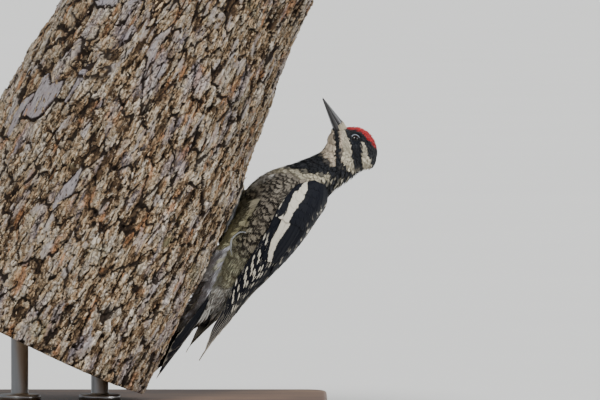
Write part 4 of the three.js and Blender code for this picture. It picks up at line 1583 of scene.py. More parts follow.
    def path(self, skin: Skin, points: Array, heading: Array, length: Array) -> dict[str, Array]:
        """Each feather's line over the skin, as points, directions and normals.

        Args:
            skin: the bird's skin.
            points: the feathers' roots.
            heading: the way each sets off.
            length: how long each is.

        Returns:
            "place", "heading" and "normal", (N, steps + 1, 3) each.
        """
        steps = 5
        places, headings, normals = [], [], []
        place, normal = skin.nearest(points)
        for _ in range(steps + 1):
            heading = tangent_to(heading, normal)
            places.append(place)
            headings.append(heading)
            normals.append(normal)
            ahead = place + heading * (length / steps)[:, None]
            place, turned = skin.nearest(ahead)
            past = (np.linalg.norm(place - ahead, axis=1) > 0.9)[:, None]
            place, normal = np.where(past, ahead, place), np.where(past, normal, turned)
        stack = [np.stack(v, axis=1) for v in (places, headings, normals)]
        return dict(zip(("place", "heading", "normal"), stack))

    def feathers(self, roots: dict, path: dict, lobes: int, rings: int, rng: np.random.Generator) -> Shape:
        """Feathers of one build, each a fan of overlapping lobes.

        Args:
            roots: what is known of each feather at its root.
            path: its line over the skin.
            lobes: how many lobes it has.
            rings: how many places along each lobe are given a width.
            rng: where the random draws come from.

        Returns:
            The feathers, with their traits and bake places.
        """
        count = len(roots["points"])
        lobe = np.linspace(-1, 1, lobes)
        reach = 1 - 0.3 * np.abs(lobe) ** 1.7 + rng.normal(0, 0.05, (count, lobes))
        along = np.linspace(0.02, 1, rings)[None, None] * reach[..., None]
        place, heading, normal = (sampled(path[k], along) for k in ("place", "heading", "normal"))
        heading, normal = unit(heading), unit(normal)
        side = np.cross(normal, heading)
        width = roots["length"] * (0.255 + 0.05 * roots["own"]) * roots.get("slim", 1.0)
        spread = np.interp(along, [0, 0.25, 0.6, 1.05], [0.12, 0.72, 1.0, 0.86])
        shift = lobe[None, :, None] * spread * width[:, None, None]
        jitter = rng.normal(0, 0.06, (count, lobes, 1)) * width[:, None, None] * along
        lift = roots["depth"][:, None, None] * (0.1 + 0.86 * along) * (1 + rng.normal(0, 0.05, (count, 1, 1)))
        lift = lift + roots["fluff"][:, None, None] * along
        cup = -0.35 * roots["depth"][:, None, None] * np.abs(lobe[None, :, None]) ** 2 * along
        lift = lift + cup + 0.05 * roots["depth"][:, None, None] * rng.normal(0, 1, (count, lobes, 1)) * along
        centre = place + side * (shift + jitter)[..., None] + normal * lift[..., None]
        taper = np.interp(np.linspace(0, 1, rings), [0, 0.35, 0.75, 1], [0.55, 1.0, 0.78, 0.0])
        half = (width[:, None, None] * (1.9 / lobes) * taper[None, None]) * np.ones((count, lobes, 1))
        ridge = 0.09 * half
        made = blades(*(merged_lobes(v) for v in (centre, side, normal, half, ridge)))
        across = (
            (shift / width[:, None, None])[..., None]
            + np.array([-1, 0, 1]) * (half / width[:, None, None])[..., None]
        )
        down = np.repeat(along[..., None], 3, axis=-1)
        per_blade = blade_points(rings)
        across, down = (lobe_values(merged_lobes(v)) for v in (across, down))
        own = np.repeat(roots["own"], lobes)[:, None] * np.ones((1, per_blade))
        made.traits["place"] = np.stack([np.clip(across, -1, 1), down, own], -1).reshape(-1, 3)
        for trait in ("ground", "mark", "habit"):
            made.traits[trait] = np.repeat(roots[trait], lobes * per_blade, axis=0)
        seat = np.repeat(roots["uv"], lobes * per_blade, axis=0)
        local = np.stack([np.clip(across, -1, 1) * 0.5, down - 0.5], -1).reshape(-1, 2)
        made.bake = np.clip(seat + local * self.patch, 0, 1)
        return made


def merged_lobes(values: Array) -> Array:
    """Values given by feather and lobe, as one row for each lobe."""
    return values.reshape(-1, *values.shape[2:])


def lobe_values(values: Array) -> Array:
    """Each lobe's values in the order of its points, with the middle one alone at its tip."""
    return np.concatenate([values[:, :-1].reshape(len(values), -1), values[:, -1:, 1]], axis=1)


def tangent_to(vectors: Array, normals: Array) -> Array:
    """The vectors' directions along the surface."""
    return unit(vectors - (vectors * normals).sum(-1, keepdims=True) * normals)


def sampled(line: Array, along: Array) -> Array:
    """Places on lines given at even steps.

    Args:
        line: (N, S, 3) values at even steps from 0 to 1.
        along: (N, L, M) where to read them; past 1 they run on straight.

    Returns:
        (N, L, M, 3) values.
    """
    steps = line.shape[1] - 1
    cell = np.clip((along * steps).astype(int), 0, steps - 1)
    part = (along * steps - cell)[..., None]
    rows = np.arange(len(line))[:, None, None]
    return line[rows, cell] * (1 - part) + line[rows, cell + 1] * part


# ---- Wings --------------------------------------------------------------------------


@dataclass(frozen=True)
class Quill:
    """One long feather on the folded wing.

    Root and tip are places up the trunk, leads are shares of the way from the wing's lower
    edge to its upper one, and share is how much of the width lies below the shaft.
    """

    root: float
    tip: float
    lead: float
    lead_tip: float
    width: float
    share: float = 0.5
    sharp: float = 0.0
    layer: float = 0.0
    tilt: float = 0.0
    rise: float = 0.0
    dash: float = 0.0
    rim: float = 0.0
    rim_fades: bool = False
    patched: bool = True


def doubled(values: Array) -> Array:
    """The values of a sheet's upper points, and again for its lower ones."""
    return np.concatenate([values.reshape(-1, *values.shape[2:])] * 2)


@dataclass
class Vane:
    """What one feather's sheet carries at each point of its upper face."""

    across: Array
    down: Array
    own: float
    plume: Array
    rim: Array
    margin: float = 0.004

    def sheet(self, top: Array, normals: Array, thickness: float, cell: int, columns: int) -> Shape:
        """The feather's closed sheet.

        Args:
            top: (M, K, 3) points of its upper face.
            normals: the unit vectors out of them.
            thickness: how thick it is.
            cell: its place on the bake map.
            columns: how many such places lie side by side there.

        Returns:
            The sheet with its traits and bake map.
        """
        made = sheets(top[None], normals[None], thickness)
        place = np.stack([self.across, self.down, np.full_like(self.across, self.own)], -1)
        made.traits = {"place": doubled(place), "plume": doubled(self.plume), "rim": doubled(self.rim)}
        corner = np.array([cell % columns, cell // columns]) / columns + self.margin
        local = doubled(np.stack([0.5 + 0.5 * self.across, self.down], -1))
        made.bake = corner + local * (1 / columns - 2 * self.margin)
        return made


@dataclass
class FoldedWing:
    """A folded wing: a closed bed with the quills, coverts and scapulars laid over it."""

    side: int
    step: float = 1.5
    columns: int = 33
    thickness: float = 0.13
    bake_columns: int = 13
    # places across a quill, -1 at its lower edge and 1 at its upper one
    web_places: tuple[float, ...] = (-1, -0.78, -0.45, -0.09, 0.0, 0.09, 0.42, 0.75, 1)

    def __post_init__(self) -> None:
        """Reads the wing's outer surface from its node."""
        self.name = "left" if self.side > 0 else "right"
        self.rng = np.random.default_rng(SEED + self.side)
        self.read_surface()

    def read_surface(self) -> None:
        """Casts rays at the node and keeps a smoothed table of its outer surface."""
        shell, faces = node_shape(f"wing_{self.name}")
        tree = BVHTree.FromPolygons(shell.tolist(), faces.tolist())
        self.heights = np.arange(31.0, 152.6, self.step)
        rows, spans = [], []
        for y in self.heights:
            centre = np.array([float(body_axis(y)), y, 0])
            hits = []
            for angle in np.radians(np.arange(126, -5, -1.0)):
                ray = np.array([math.cos(angle), 0, self.side * math.sin(angle)])
                hit = tree.ray_cast((centre + 60 * ray).tolist(), (-ray).tolist())[0]
                if hit is not None:
                    hits.append(hit[:])
            line = np.array(hits)
            lengths = np.concatenate([[0], np.cumsum(np.linalg.norm(np.diff(line, axis=0), axis=1))])
            even = np.linspace(0, lengths[-1], self.columns)
            rows.append(np.stack([np.interp(even, lengths, line[:, i]) for i in range(3)], -1))
            spans.append(lengths[-1])
        table = np.array(rows)
        for _ in range(8):
            table[1:-1] = (table[:-2] + 2 * table[1:-1] + table[2:]) / 4
            table[:, 1:-1] = (table[:, :-2] + 2 * table[:, 1:-1] + table[:, 2:]) / 4
        self.table = table
        self.spans = np.array(spans)
        down, inward = np.gradient(table, axis=0), np.gradient(table, axis=1)
        normals = unit(np.cross(down, inward))
        centre = np.stack([body_axis(table[..., 1]), table[..., 1], 0 * table[..., 1]], -1)
        away = np.sign(((table - centre) * normals).sum(-1, keepdims=True))
        self.normals = unit(normals * away)

    def place(self, y: Array, share: Array) -> tuple[Array, Array]:
        """Points and normals of the wing's surface.

        Args:
            y: places up the trunk.
            share: how far each lies from the wing's lower edge towards its upper one.

        Returns:
            The points and unit vectors, (..., 3) each.
        """
        y, share = np.broadcast_arrays(np.asarray(y, float), np.asarray(share, float))
        row = (np.minimum(y, self.heights[-1]) - self.heights[0]) / self.step
        wider = np.interp(y, [60, 70, 85, 100, 125, 146, 152], [0, 0.3, 2, 2.8, 3.8, 3.6, 0])
        column = (share - (1 - np.minimum(share, 1)) * wider / self.span(y)) * (self.columns - 1)
        r = np.clip(np.floor(row).astype(int), 0, len(self.heights) - 2)
        c = np.clip(np.floor(column).astype(int), 0, self.columns - 2)
        dr, dc = (row - r)[..., None], (column - c)[..., None]
        near = self.table[r, c] * (1 - dc) + self.table[r, c + 1] * dc
        far = self.table[r + 1, c] * (1 - dc) + self.table[r + 1, c + 1] * dc
        normal = self.normals[r, c] * (1 - np.clip(dr, 0, 1)) + self.normals[r + 1, c] * np.clip(dr, 0, 1)
        points = near * (1 - dr) + far * dr
        points[..., 0] += np.interp(y, [31, 38, 48, 58, 68, 80], [3.0, 3.4, 4.2, 3.6, 1.8, 0])
        return points, unit(normal)

    def span(self, y: Array) -> Array:
        """How wide the wing is at places up the trunk."""
        return np.interp(y, self.heights, self.spans)

    def bed(self) -> Shape:
        """The closed sheet under the feathers."""
        y = np.linspace(151, 56, 60)
        share = np.linspace(0.03, 0.97, 24)
        points, normals = self.place(*np.meshgrid(y, share, indexing="ij"))
        top = (points - 1.3 * normals)[None]
        made = sheets(top, normals[None], 0.5)
        made.traits = {
            "place": np.tile((0.6, 0.5, 0.5), (len(made.points), 1)),
            "plume": np.tile((6.0, 0.0, 0.0), (len(made.points), 1)),
            "rim": np.zeros(len(made.points)),
        }
        made.bake = np.tile((0.995, 0.995), (len(made.points), 1))
        return made

    def plan(self) -> list[Quill]:
        """Every quill, covert and scapular, from the wing's lower edge up."""
        return [*self.flight_feathers(), *self.coverts(), *self.scapulars()]

    def flight_feathers(self) -> list[Quill]:
        """The primaries, the secondaries and the tertials."""
        quills = []
        for k, tip in enumerate((37.5, 31.5, 29.4, 32.5, 37, 42.5, 47.5, 52.5, 56)):
            quills.append(Quill(
                root=122, tip=tip, lead=0.036 * k, lead_tip=min(0.02 + 0.1 * k, 0.72), width=6.8 - 0.1 * k,
                share=0.34, sharp=1.0, layer=-0.55 + 0.02 * k, tilt=0.55, dash=1, rim=0.9, patched=False,
            ))
        for k, dash in enumerate((0.9, 0.7, 0.2, 0, 0, 0.3)):
            quills.append(Quill(
                root=122, tip=59 + 0.6 * k, lead=0.345 + 0.052 * k, lead_tip=0.46 + 0.062 * k, width=7.6,
                share=0.36, sharp=0.35, layer=-0.33, tilt=0.55, dash=dash, rim=0.15, patched=False,
            ))
        for k, tip in enumerate((63, 69, 77)):
            quills.append(Quill(
                root=122, tip=tip, lead=0.66 + 0.085 * k, lead_tip=0.7 + 0.05 * k, width=9.2, share=0.45,
                sharp=0.3, layer=-0.1 + 0.08 * k, tilt=0.5, rise=0.1, dash=0.35, rim=0.3, patched=False,
            ))
        return quills

    def coverts(self) -> list[Quill]:
        """The coverts of the primaries, the thumb's feathers, and the great and small coverts."""
        quills = []
        for k in range(7):
            lead = 0.01 + 0.012 * k
            quills.append(Quill(
                root=146, tip=117 + 1.6 * k, lead=lead, lead_tip=lead, width=3.4, share=0.45, sharp=0.25,
                layer=-0.2, tilt=0.5, rise=0.25, rim=0.12, rim_fades=True, patched=False,
            ))
        for k in range(3):
            quills.append(Quill(
                root=150, tip=123.9 + 5.5 * k, lead=0.012 + 0.03 * k, lead_tip=0.015 + 0.03 * k, width=3.6,
                share=0.4, sharp=0.4, layer=0.12, tilt=0.45, rise=0.3, rim=0.3,
            ))
        for k in range(9):
            quills.append(Quill(
                root=131, tip=98.6 + (0.4 * k if k > 2 else 0), lead=0.15 + 0.085 * k,
                lead_tip=0.15 + 0.082 * k, width=7.2, share=0.42, sharp=0.05, tilt=0.5, rise=0.3,
            ))
        rows = ((124.0, 8, 15), (128.3, 8, 13), (133.0, 8, 12), (137.6, 7, 11), (142.8, 6, 10), (147.2, 5, 9))
        for tip, count, length in rows:
            for k in range(count):
                lead = 0.02 + 0.9 * k / count
                quills.append(Quill(
                    root=tip + length, tip=tip + self.rng.normal(0, 0.35), lead=lead, lead_tip=lead,
                    width=7.0 if tip < 140 else 5.6, layer=0.18, tilt=0.25, rise=0.45,
                ))
        return quills

    def scapulars(self) -> list[Quill]:
        """The scapulars, whose pale rims fade towards the back."""
        quills = []
        for row, lead in enumerate((0.97, 0.93, 0.89, 0.87, 0.84, 0.82, 0.79, 0.76)):
            tip = 141 - 6 * row
            for k in range(3):
                quills.append(Quill(
                    root=tip + 24, tip=tip - 3.0 * k, lead=lead - 0.12 * k, lead_tip=lead - 0.13 * k,
                    width=8.6, sharp=0.1, layer=0.55 - 0.05 * row, tilt=0.2, rise=0.3, rim=0.95,
                    rim_fades=True,
                ))
        return quills

    def build_quill(self, quill: Quill, cell: int) -> Shape:
        """One feather's closed sheet, bent over the wing.

        Args:
            quill: its sizes.
            cell: its place on the bake map.

        Returns:
            The feather.
        """
        length = quill.root - quill.tip
        rows = 22 if length > 22 else 13
        along = 1 - (1 - np.linspace(0, 1, rows)) ** 1.6
        y = quill.root + (quill.tip - quill.root) * along
        start = 1 - (0.55 + 0.75 * quill.sharp) * quill.width / length * (1.35 if quill.sharp > 0.8 else 1)
        fall = np.clip((along - start) / (1 - start), 0, 1)
        taper = (1 - fall ** (2.2 - 0.9 * quill.sharp)) ** (0.5 + 0.35 * quill.sharp)
        taper = np.maximum(taper, 0.03) * (0.55 + 0.45 * ease(0, 0.18, along))
        own = self.rng.random()
        places = np.array(self.web_places)
        web = np.where(places < 0, quill.share, 1 - quill.share) * places
        edge = 1 + 0.035 * np.sin(along * 41 + 9 * own) + 0.03 * np.sin(along * 97 + 5 * own)
        spread = web[None] * (taper * edge)[:, None] * quill.width
        lead = quill.lead + (quill.lead_tip - quill.lead) * ease(100, 45, y)
        middle = lead * self.span(y) + quill.share * quill.width
        share = (middle[:, None] + spread) / np.maximum(self.span(y), 4.5)[:, None]
        points, normals = self.place(y[:, None] * np.ones_like(share), np.clip(share, -0.12, 1.3))
        across = places[None] * np.ones((rows, 1))
        height = quill.layer + quill.rise * along[:, None] - 0.5 * quill.tilt * across
        height = height - 0.14 * across**2 + 0.1 * (np.abs(across) < 0.02) + 0.05 * (own - 0.5)
        top = points + normals * height[..., None]
        down = along[:, None] * np.ones_like(across)
        jitter = self.rng.normal(0, 0.35, 2)
        flat, out = BIRD.flank_view(top)
        patch = np.minimum(course_distance(flat + jitter[0], out + jitter[1], MARKINGS.wing_patch),
                           course_distance(flat, out, MARKINGS.alula_line))
        if not quill.patched:
            patch = patch + 4
        band = (top[..., 1] + 3.9 * (round(quill.lead * 100) % 2) + own * 3.0) / 7.8
        angle = np.degrees(np.arctan2(np.abs(top[..., 2]), top[..., 0] - body_axis(top[..., 1])))
        breaks = ease(0.0, 0.5, noise(top, 2.6, 77))
        rim = quill.rim * (ease(62, 44, angle) if quill.rim_fades else 1)
        dashes = quill.dash * ease(116, 110, top[..., 1]) * ease(57, 64, top[..., 1])
        rim = rim * np.ones_like(across) * (ease(0.6, 0.8, down) if quill.dash else breaks)
        vane = Vane(across, down, own, np.stack([patch, band, dashes], -1), rim)
        return vane.sheet(top, normals, self.thickness, cell, self.bake_columns)

    def build(self, finish: Material) -> None:
        """Makes the wing in place of its node.

        Args:
            finish: the black feathers' finish.
        """
        shapes = [self.build_quill(quill, cell) for cell, quill in enumerate(self.plan())]
        add_piece(
            f"wing_feathers_{self.name}", joined([*shapes, self.bed()]), finish,
            (f"wing_{self.name}",)
        )


@dataclass(frozen=True)
class WingFinish(Finish):
    """Glossy black feathers with a pale patch, dashes and rims where their traits say so."""

    white: Colour = (0.64, 0.61, 0.52)
    barb_depth: float = 0.00005

    def build(self) -> Material:
        """The material, reading each feather's own traits."""
        made, tree = self.start()
        across, along, own = tree.parts(tree.trait("place", "Vector"))
        patch, band, dash = tree.parts(tree.trait("plume", "Vector"))
        rim = tree.trait("rim")
        place = tree.object_place()
        grain = tree.cloud(place, 700.0)
        fray = tree.times_plus(grain, 1.4, -0.7)
        is_patch = tree.ease(0.25, -0.25, tree.plus(patch, fray))
        phase = tree.math("ABSOLUTE", tree.minus(tree.math("FRACT", band), 0.5))
        swing = tree.times_plus(tree.minus(tree.math("FRACT", band), 0.5), 0.9, across)
        in_web = tree.math("POWER", tree.times_plus(swing, 4.4, 2.9), 2.0)
        along_dash = tree.math("POWER", tree.times(phase, 3.3), 2.0)
        oval = tree.plus(tree.plus(along_dash, in_web), tree.times_plus(grain, 1.6, -0.8))
        seat = tree.node(
            "ShaderNodeCombineXYZ", {0: tree.math("FLOOR", band), 1: tree.times(own, 57.0)}
        ).outputs[0]
        shown = tree.math(
            "GREATER_THAN", tree.node("ShaderNodeTexWhiteNoise", {"Vector": seat}).outputs[0], 0.36
        )
        is_dash = tree.times(tree.times(tree.ease(1.15, 0.85, oval), dash), shown)
        wide = tree.math("ABSOLUTE", across)
        is_rim = tree.times(tree.ease(0.86, 0.97, tree.most(wide, along)), rim)
        pale = tree.most(is_patch, is_dash, is_rim)
        dark = tree.mix(own, (0.0035, 0.0045, 0.009), (0.007, 0.008, 0.012))
        worn = tree.mix(tree.times(tree.ease(0.1, 0.9, across), 0.55), dark, (0.03, 0.03, 0.034))
        worn_dark = tree.mix(tree.times(dash, 1.0), dark, worn)
        lilac = tree.times(tree.ease(0.7, 0.88, rim), tree.ease(0.1, -0.25, across))
        worn_dark = tree.mix(tree.times(lilac, 0.1), worn_dark, (0.22, 0.215, 0.26))
        cream = tree.mix(tree.times(grain, 0.7), self.white, (0.55, 0.48, 0.36))
        tree.colour(tree.mix(pale, worn_dark, cream))
        slant = tree.times_plus(wide, 8.0, tree.times(along, 60.0))
        barbs = tree.math("SINE", tree.times(slant, 6.0))
        tree.bumps(barbs, 0.3, self.barb_depth)
        return made


# ---- Tail ---------------------------------------------------------------------------


@dataclass(frozen=True)
class Tail:
    """Stiff pointed feathers in a fan, the middle pair longest and pressed on the bark."""

    pairs: int = 5
    width: float = 8.6
    thickness: float = 0.16
    rows: int = 30

    def build(self, finish: Material) -> None:
        """Makes the tail in place of its node.

        Args:
            finish: the black feathers' finish.
        """
        shapes = []
        for pair in reversed(range(self.pairs)):
            for side in (-1, 1):
                shapes.append(self.feather(pair, side, len(shapes)))
        add_piece("tail_feathers", joined(shapes), finish, ("tail",))

    def feather(self, pair: int, side: int, cell: int) -> Shape:
        """One tail feather's closed sheet.

        Args:
            pair: 0 for the middle pair, counted outwards.
            side: 1 for left, -1 for right.
            cell: its place on the bake map.

        Returns:
            The feather.
        """
        root = np.array([19.6 - 1.1 * pair, 72, side * (1.0 + 0.8 * pair)])
        middle = np.array([11.2 - 0.9 * pair, 36 + pair, side * (2.9 + 1.7 * pair)])
        tip = np.array([5.2 - 0.7 * pair, 9.5 + 1.2 * pair**1.9, side * (4.4 + 1.9 * pair)])
        along = 1 - (1 - np.linspace(0, 1, self.rows)) ** 1.5
        line = smooth_line(np.array([root, middle, tip]), 200)[np.round(along * 199).astype(int)]
        tangent = unit(np.gradient(line, axis=0))
        slope = np.array([-0.55 - 0.3 * pair, 0, side])
        across = tangent_to(np.tile(slope, (self.rows, 1)), tangent)
        normal = np.cross(tangent, across)
        normal *= np.sign(normal[:, :1])
        web = np.array([-1, -0.75, -0.4, -0.1, -0.04, 0.04, 0.1, 0.4, 0.75, 1])
        taper = np.interp(along, [0, 0.2, 0.4, 0.6, 0.8, 0.92, 1], [0.2, 0.45, 0.9, 1.0, 0.66, 0.3, 0.02])
        ragged = 1 + 0.05 * np.sin(61 * along + pair) + 0.04 * np.sin(143 * along + side)
        spread = web[None] * (taper * ragged)[:, None] * self.width / 2
        height = (
            -0.5 * web[None] ** 2 * taper[:, None]
            + 0.32 * (np.abs(web[None]) < 0.06) * (1 - 0.7 * along[:, None])
        )
        layer = 0.16 * (self.pairs - pair) + 0.06 * side
        top = (
            line[:, None] + across[:, None] * spread[..., None]
            + normal[:, None] * (height + layer)[..., None]
        )
        down, wide = along[:, None] * np.ones((1, len(web))), web[None] * np.ones((self.rows, 1))
        own = hashed(np.array([[pair, side]]), 3)[0]
        inner = ease(-0.05, -0.5, wide)
        plume = np.stack([np.full_like(wide, 5.0), down * 9 + own, 0.8 * inner * (pair == 0)], -1)
        rim = np.where(noise(top, 3.2, 91) > -0.1, 0.55, 0.0) * ease(0.3, 0.45, down)
        normals = normal[:, None] * np.ones((1, len(web), 1))
        return Vane(wide, down, own, plume, rim).sheet(top, normals, self.thickness, cell, self.pairs)


# ---- Bill, eyes and feet ------------------------------------------------------------


@dataclass(frozen=True)
class Bill:
    """A straight chisel bill: two closed halves that meet along the cutting edges."""

    length: float = 19.9
    droop: float = 3.5
    depth: float = 7.2
    half_width: float = 3.2
    split: float = 3.9
    root: float = 3.0
    gap: float = 0.12

    def width(self, t: Array) -> Array:
        """Half the bill's width.

        Args:
            t: shares of the way to its tip.

        Returns:
            The half widths, in millimetres.
        """
        return (
            self.half_width * np.maximum(1 - np.maximum(t, 0) ** 1.15, 0.08)
            * (1 - 0.2 * ease(0.0, -0.16, t))
        )

    def half(self, is_upper: bool) -> Shape:
        """One half, with its place along the bill as a trait.

        Args:
            is_upper: whether it is the upper half.

        Returns:
            The closed half.
        """
        t = np.concatenate([np.linspace(-self.root / self.length, 0.85, 34), np.linspace(0.88, 1, 8)])
        fore = t * self.length - (0 if is_upper else 0.4) * np.clip(t, 0, 1)
        inside = ease(0.02, -0.16, t)
        ridge = (-3.22 * t - 0.9 * inside) if is_upper else -self.depth + 3.2 * t + 0.9 * inside
        edge = -self.split + (self.split - self.droop - 0.1) * t + (0.5 if is_upper else -0.5) * self.gap
        turn = np.linspace(0, math.pi, 19)
        side = np.cos(turn)
        lift = np.sin(turn) ** 0.86
        side = np.sign(side) * np.abs(side) ** 0.9
        over = np.stack([np.tile(side, (len(t), 1)) * self.width(t)[:, None],
                         edge[:, None] + (ridge - edge)[:, None] * lift[None]], -1)
        if is_upper:
            shelf = np.exp(-(((np.abs(side) - 0.62) / 0.2) ** 2)) * 0.22
            over[..., 0] += np.sign(side) * shelf[None] * (1 - np.clip(t, 0, 1))[:, None]
        back = side[::-1][1:-1] * 0.96
        under = np.stack([np.tile(back, (len(t), 1)) * self.width(t)[:, None],
                          edge[:, None] + 0.22 * (ridge - edge)[:, None] * (1 - back[None] ** 2)], -1)
        ring = np.concatenate([over, under], axis=1)
        points = HEAD.point(fore[:, None], ring[..., 1], ring[..., 0])
        sides = ring.shape[1]
        traits = {
            "along": np.repeat(t, sides),
            "lift": np.tile(np.concatenate([lift, np.zeros(len(back))]), len(t))
        }
        return closed_rings(points.reshape(-1, 3), len(t), sides, traits)

    def build(self) -> None:
        """Makes both halves in place of their nodes."""
        finish, tree = Finish("bill_horn", 0.3, (("Coat Weight", 0.2), ("Coat Roughness", 0.2))).start()
        along = tree.trait("along")
        lift = tree.trait("lift")
        place = tree.object_place()
        streak = tree.stretched(place, (1600.0, 1600.0, 160.0))
        grain = tree.cloud(streak, 1.0)
        base = tree.mix(tree.ease(0.05, 0.75, along), (0.020, 0.020, 0.024), (0.008, 0.008, 0.011))
        # painted highlight: a pale bluish band along the top of the bill, strongest towards its root
        ridge = tree.mix(
            tree.times(tree.ease(0.72, 1.0, lift), tree.ease(0.95, 0.3, along)), base, (0.13, 0.14, 0.175)
        )
        tree.colour(tree.mix(tree.times(grain, 0.55), ridge, (0.05, 0.045, 0.042)))
        tree.gloss(tree.times_plus(grain, 0.25, 0.2))
        tree.bumps(grain, 0.25, 0.0001)
        add_piece("bill_upper_horn", self.half(True), finish, ("bill_upper",))
        add_piece("bill_lower_horn", self.half(False), finish, ("bill_lower",))

    def tufts(self, rng: np.random.Generator) -> dict:
        """The bristly feathers that lie forward over the nostrils.

        Args:
            rng: where the random draws come from.

        Returns:
            Blade lines: "centre", "side", "normal" and "half".
        """
        count, rings = 620, 5
        share = rng.uniform(-1, 1, count)
        turn = np.abs(share) ** 0.8 * 1.3
        start = rng.uniform(-3.6, -0.4, count)
        reach = rng.uniform(2.0, 4.2, count) * (1 - 0.25 * turn)
        along = np.linspace(0, 1, rings)
        fore = start[:, None] + reach[:, None] * along[None]
        t = np.clip(fore / self.length, 0, 1)
        wide = self.width(t) * np.sin(turn * 1.5)[:, None] ** 1.1 + 0.2 + 0.12 * along[None]
        above = -3.22 * t - (self.split * 0.95 - 3.22 * t) * (1 - np.cos(turn * 1.45))[:, None] + 0.2
        side = np.sign(share)[:, None] * wide + rng.normal(0, 0.12, (count, 1)) * along[None]
        centre = HEAD.point(fore, above, side)
        normal = unit(np.sin(turn)[:, None, None] * np.sign(share)[:, None, None] * np.array([0, 0, 1.0])
                      + np.cos(turn)[:, None, None] * HEAD.crownward) * np.ones((1, rings, 1))
        tangent = unit(np.gradient(centre, axis=1))
        half = 0.26 * np.interp(along, [0, 0.4, 1], [0.7, 1, 0])[None] * np.ones((count, 1))
        return {"centre": centre, "side": np.cross(normal, tangent), "normal": normal, "half": half}


@dataclass(frozen=True)
class Eye:
    """A dark eye between thin lids."""

    side: int
    radius: float = 3.2
    opening: tuple[float, float] = (2.75, 2.5)
    lid: float = 3.4

    @property
    def axes(self) -> tuple[Array, Array, Array]:
        """The way the eye looks, and the ways along and across its opening."""
        gaze = unit(np.array([0, 0, self.side * 1.0]) + 0.14 * HEAD.forward + 0.05 * HEAD.crownward)
        along = tangent_to(HEAD.forward + 0.18 * HEAD.crownward, gaze)
        return gaze, along, np.cross(gaze, along)

    @property
    def centre(self) -> Array:
        """The eyeball's middle."""
        return HEAD.eye_centre(self.side)

    def ball(self) -> Shape:
        """The eyeball, with the angle from the middle of its pupil as a trait."""
        gaze, along, across = self.axes
        polar = np.linspace(0.03, math.pi - 0.03, 34)
        turn = np.linspace(0, 2 * math.pi, 44, endpoint=False)
        ring = np.cos(turn)[:, None] * along + np.sin(turn)[:, None] * across
        bulge = 1 + 0.025 * ease(0.75, 0.2, polar)
        points = np.cos(polar)[:, None, None] * gaze + np.sin(polar)[:, None, None] * ring[None]
        points = self.centre + self.radius * bulge[:, None, None] * points
        return closed_rings(points.reshape(-1, 3), 34, 44, {"polar": np.repeat(polar, 44)})

    def lids(self) -> Shape:
        """The closed ring of bare skin round the eye."""
        gaze, along, across = self.axes
        turn = np.linspace(0, 2 * math.pi, 72, endpoint=False)
        wide = np.hypot(np.cos(turn) * self.opening[0], np.sin(turn) * self.opening[1])
        wide = wide * (1 + 0.05 * np.cos(turn) ** 8)
        start = np.arcsin(wide / self.lid)
        section = [
            (0.0, -0.25), (-0.02, -0.1), (0.0, 0.0), (0.03, 0.05), (0.08, 0.06), (0.13, 0.03), (0.2, -0.04),
            (0.36, -0.16), (0.36, -0.45), (0.12, -0.4)
        ]
        ring = np.cos(turn)[:, None] * along + np.sin(turn)[:, None] * across
        crease = 0.02 * np.sin(turn * 31)
        points = []
        for angle, height in section:
            polar = start + angle
            reach = self.lid + height + (crease if angle > 0.1 else 0)
            points.append(
                self.centre + (np.cos(polar) * reach)[:, None] * gaze
                + (np.sin(polar) * reach)[:, None] * ring
            )
        return wrapped(np.stack(points, axis=1))

    def build(self, ball_finish: Material, lid_finish: Material) -> None:
        """Makes the eyeball in place of its node, and its lids."""
        name = "left" if self.side > 0 else "right"
        add_piece(f"eyeball_{name}", self.ball(), ball_finish, (f"eye_{name}",))
        add_piece(f"eyelids_{name}", self.lids(), lid_finish)

    @staticmethod
    def finishes() -> tuple[Material, Material]:
        """The wet eye and the bare lids."""
        wet = (("Coat Weight", 0.2), ("Coat Roughness", 0.03), ("Specular IOR Level", 0.15))
        eye, tree = Finish("wet_eye", 0.12, wet).start()
        polar = tree.trait("polar")
        grain = tree.cloud(tree.object_place(), 2600.0)
        iris = tree.mix(grain, (0.008, 0.005, 0.004), (0.018, 0.009, 0.007))
        iris = tree.mix(tree.ease(0.62, 0.74, polar), iris, (0.012, 0.01, 0.01))
        tree.colour(tree.mix(tree.ease(0.38, 0.42, polar), (0.002, 0.002, 0.003), iris))
        lid, tree = Finish("bare_lid", 0.5).start()
        cloud = tree.cloud(tree.object_place(), 3000.0)
        tree.colour(tree.mix(cloud, (0.13, 0.14, 0.17), (0.34, 0.37, 0.42)))
        tree.bumps(cloud, 0.4, 0.0001)
        return eye, lid


@dataclass(frozen=True)
class Toe:
    """A toe: its joints up and outward from the sole, its radius and its claw's reach."""

    name: int
    joints: tuple[tuple[float, float], tuple[float, float]]
    radius: float
    claw: tuple[float, float]


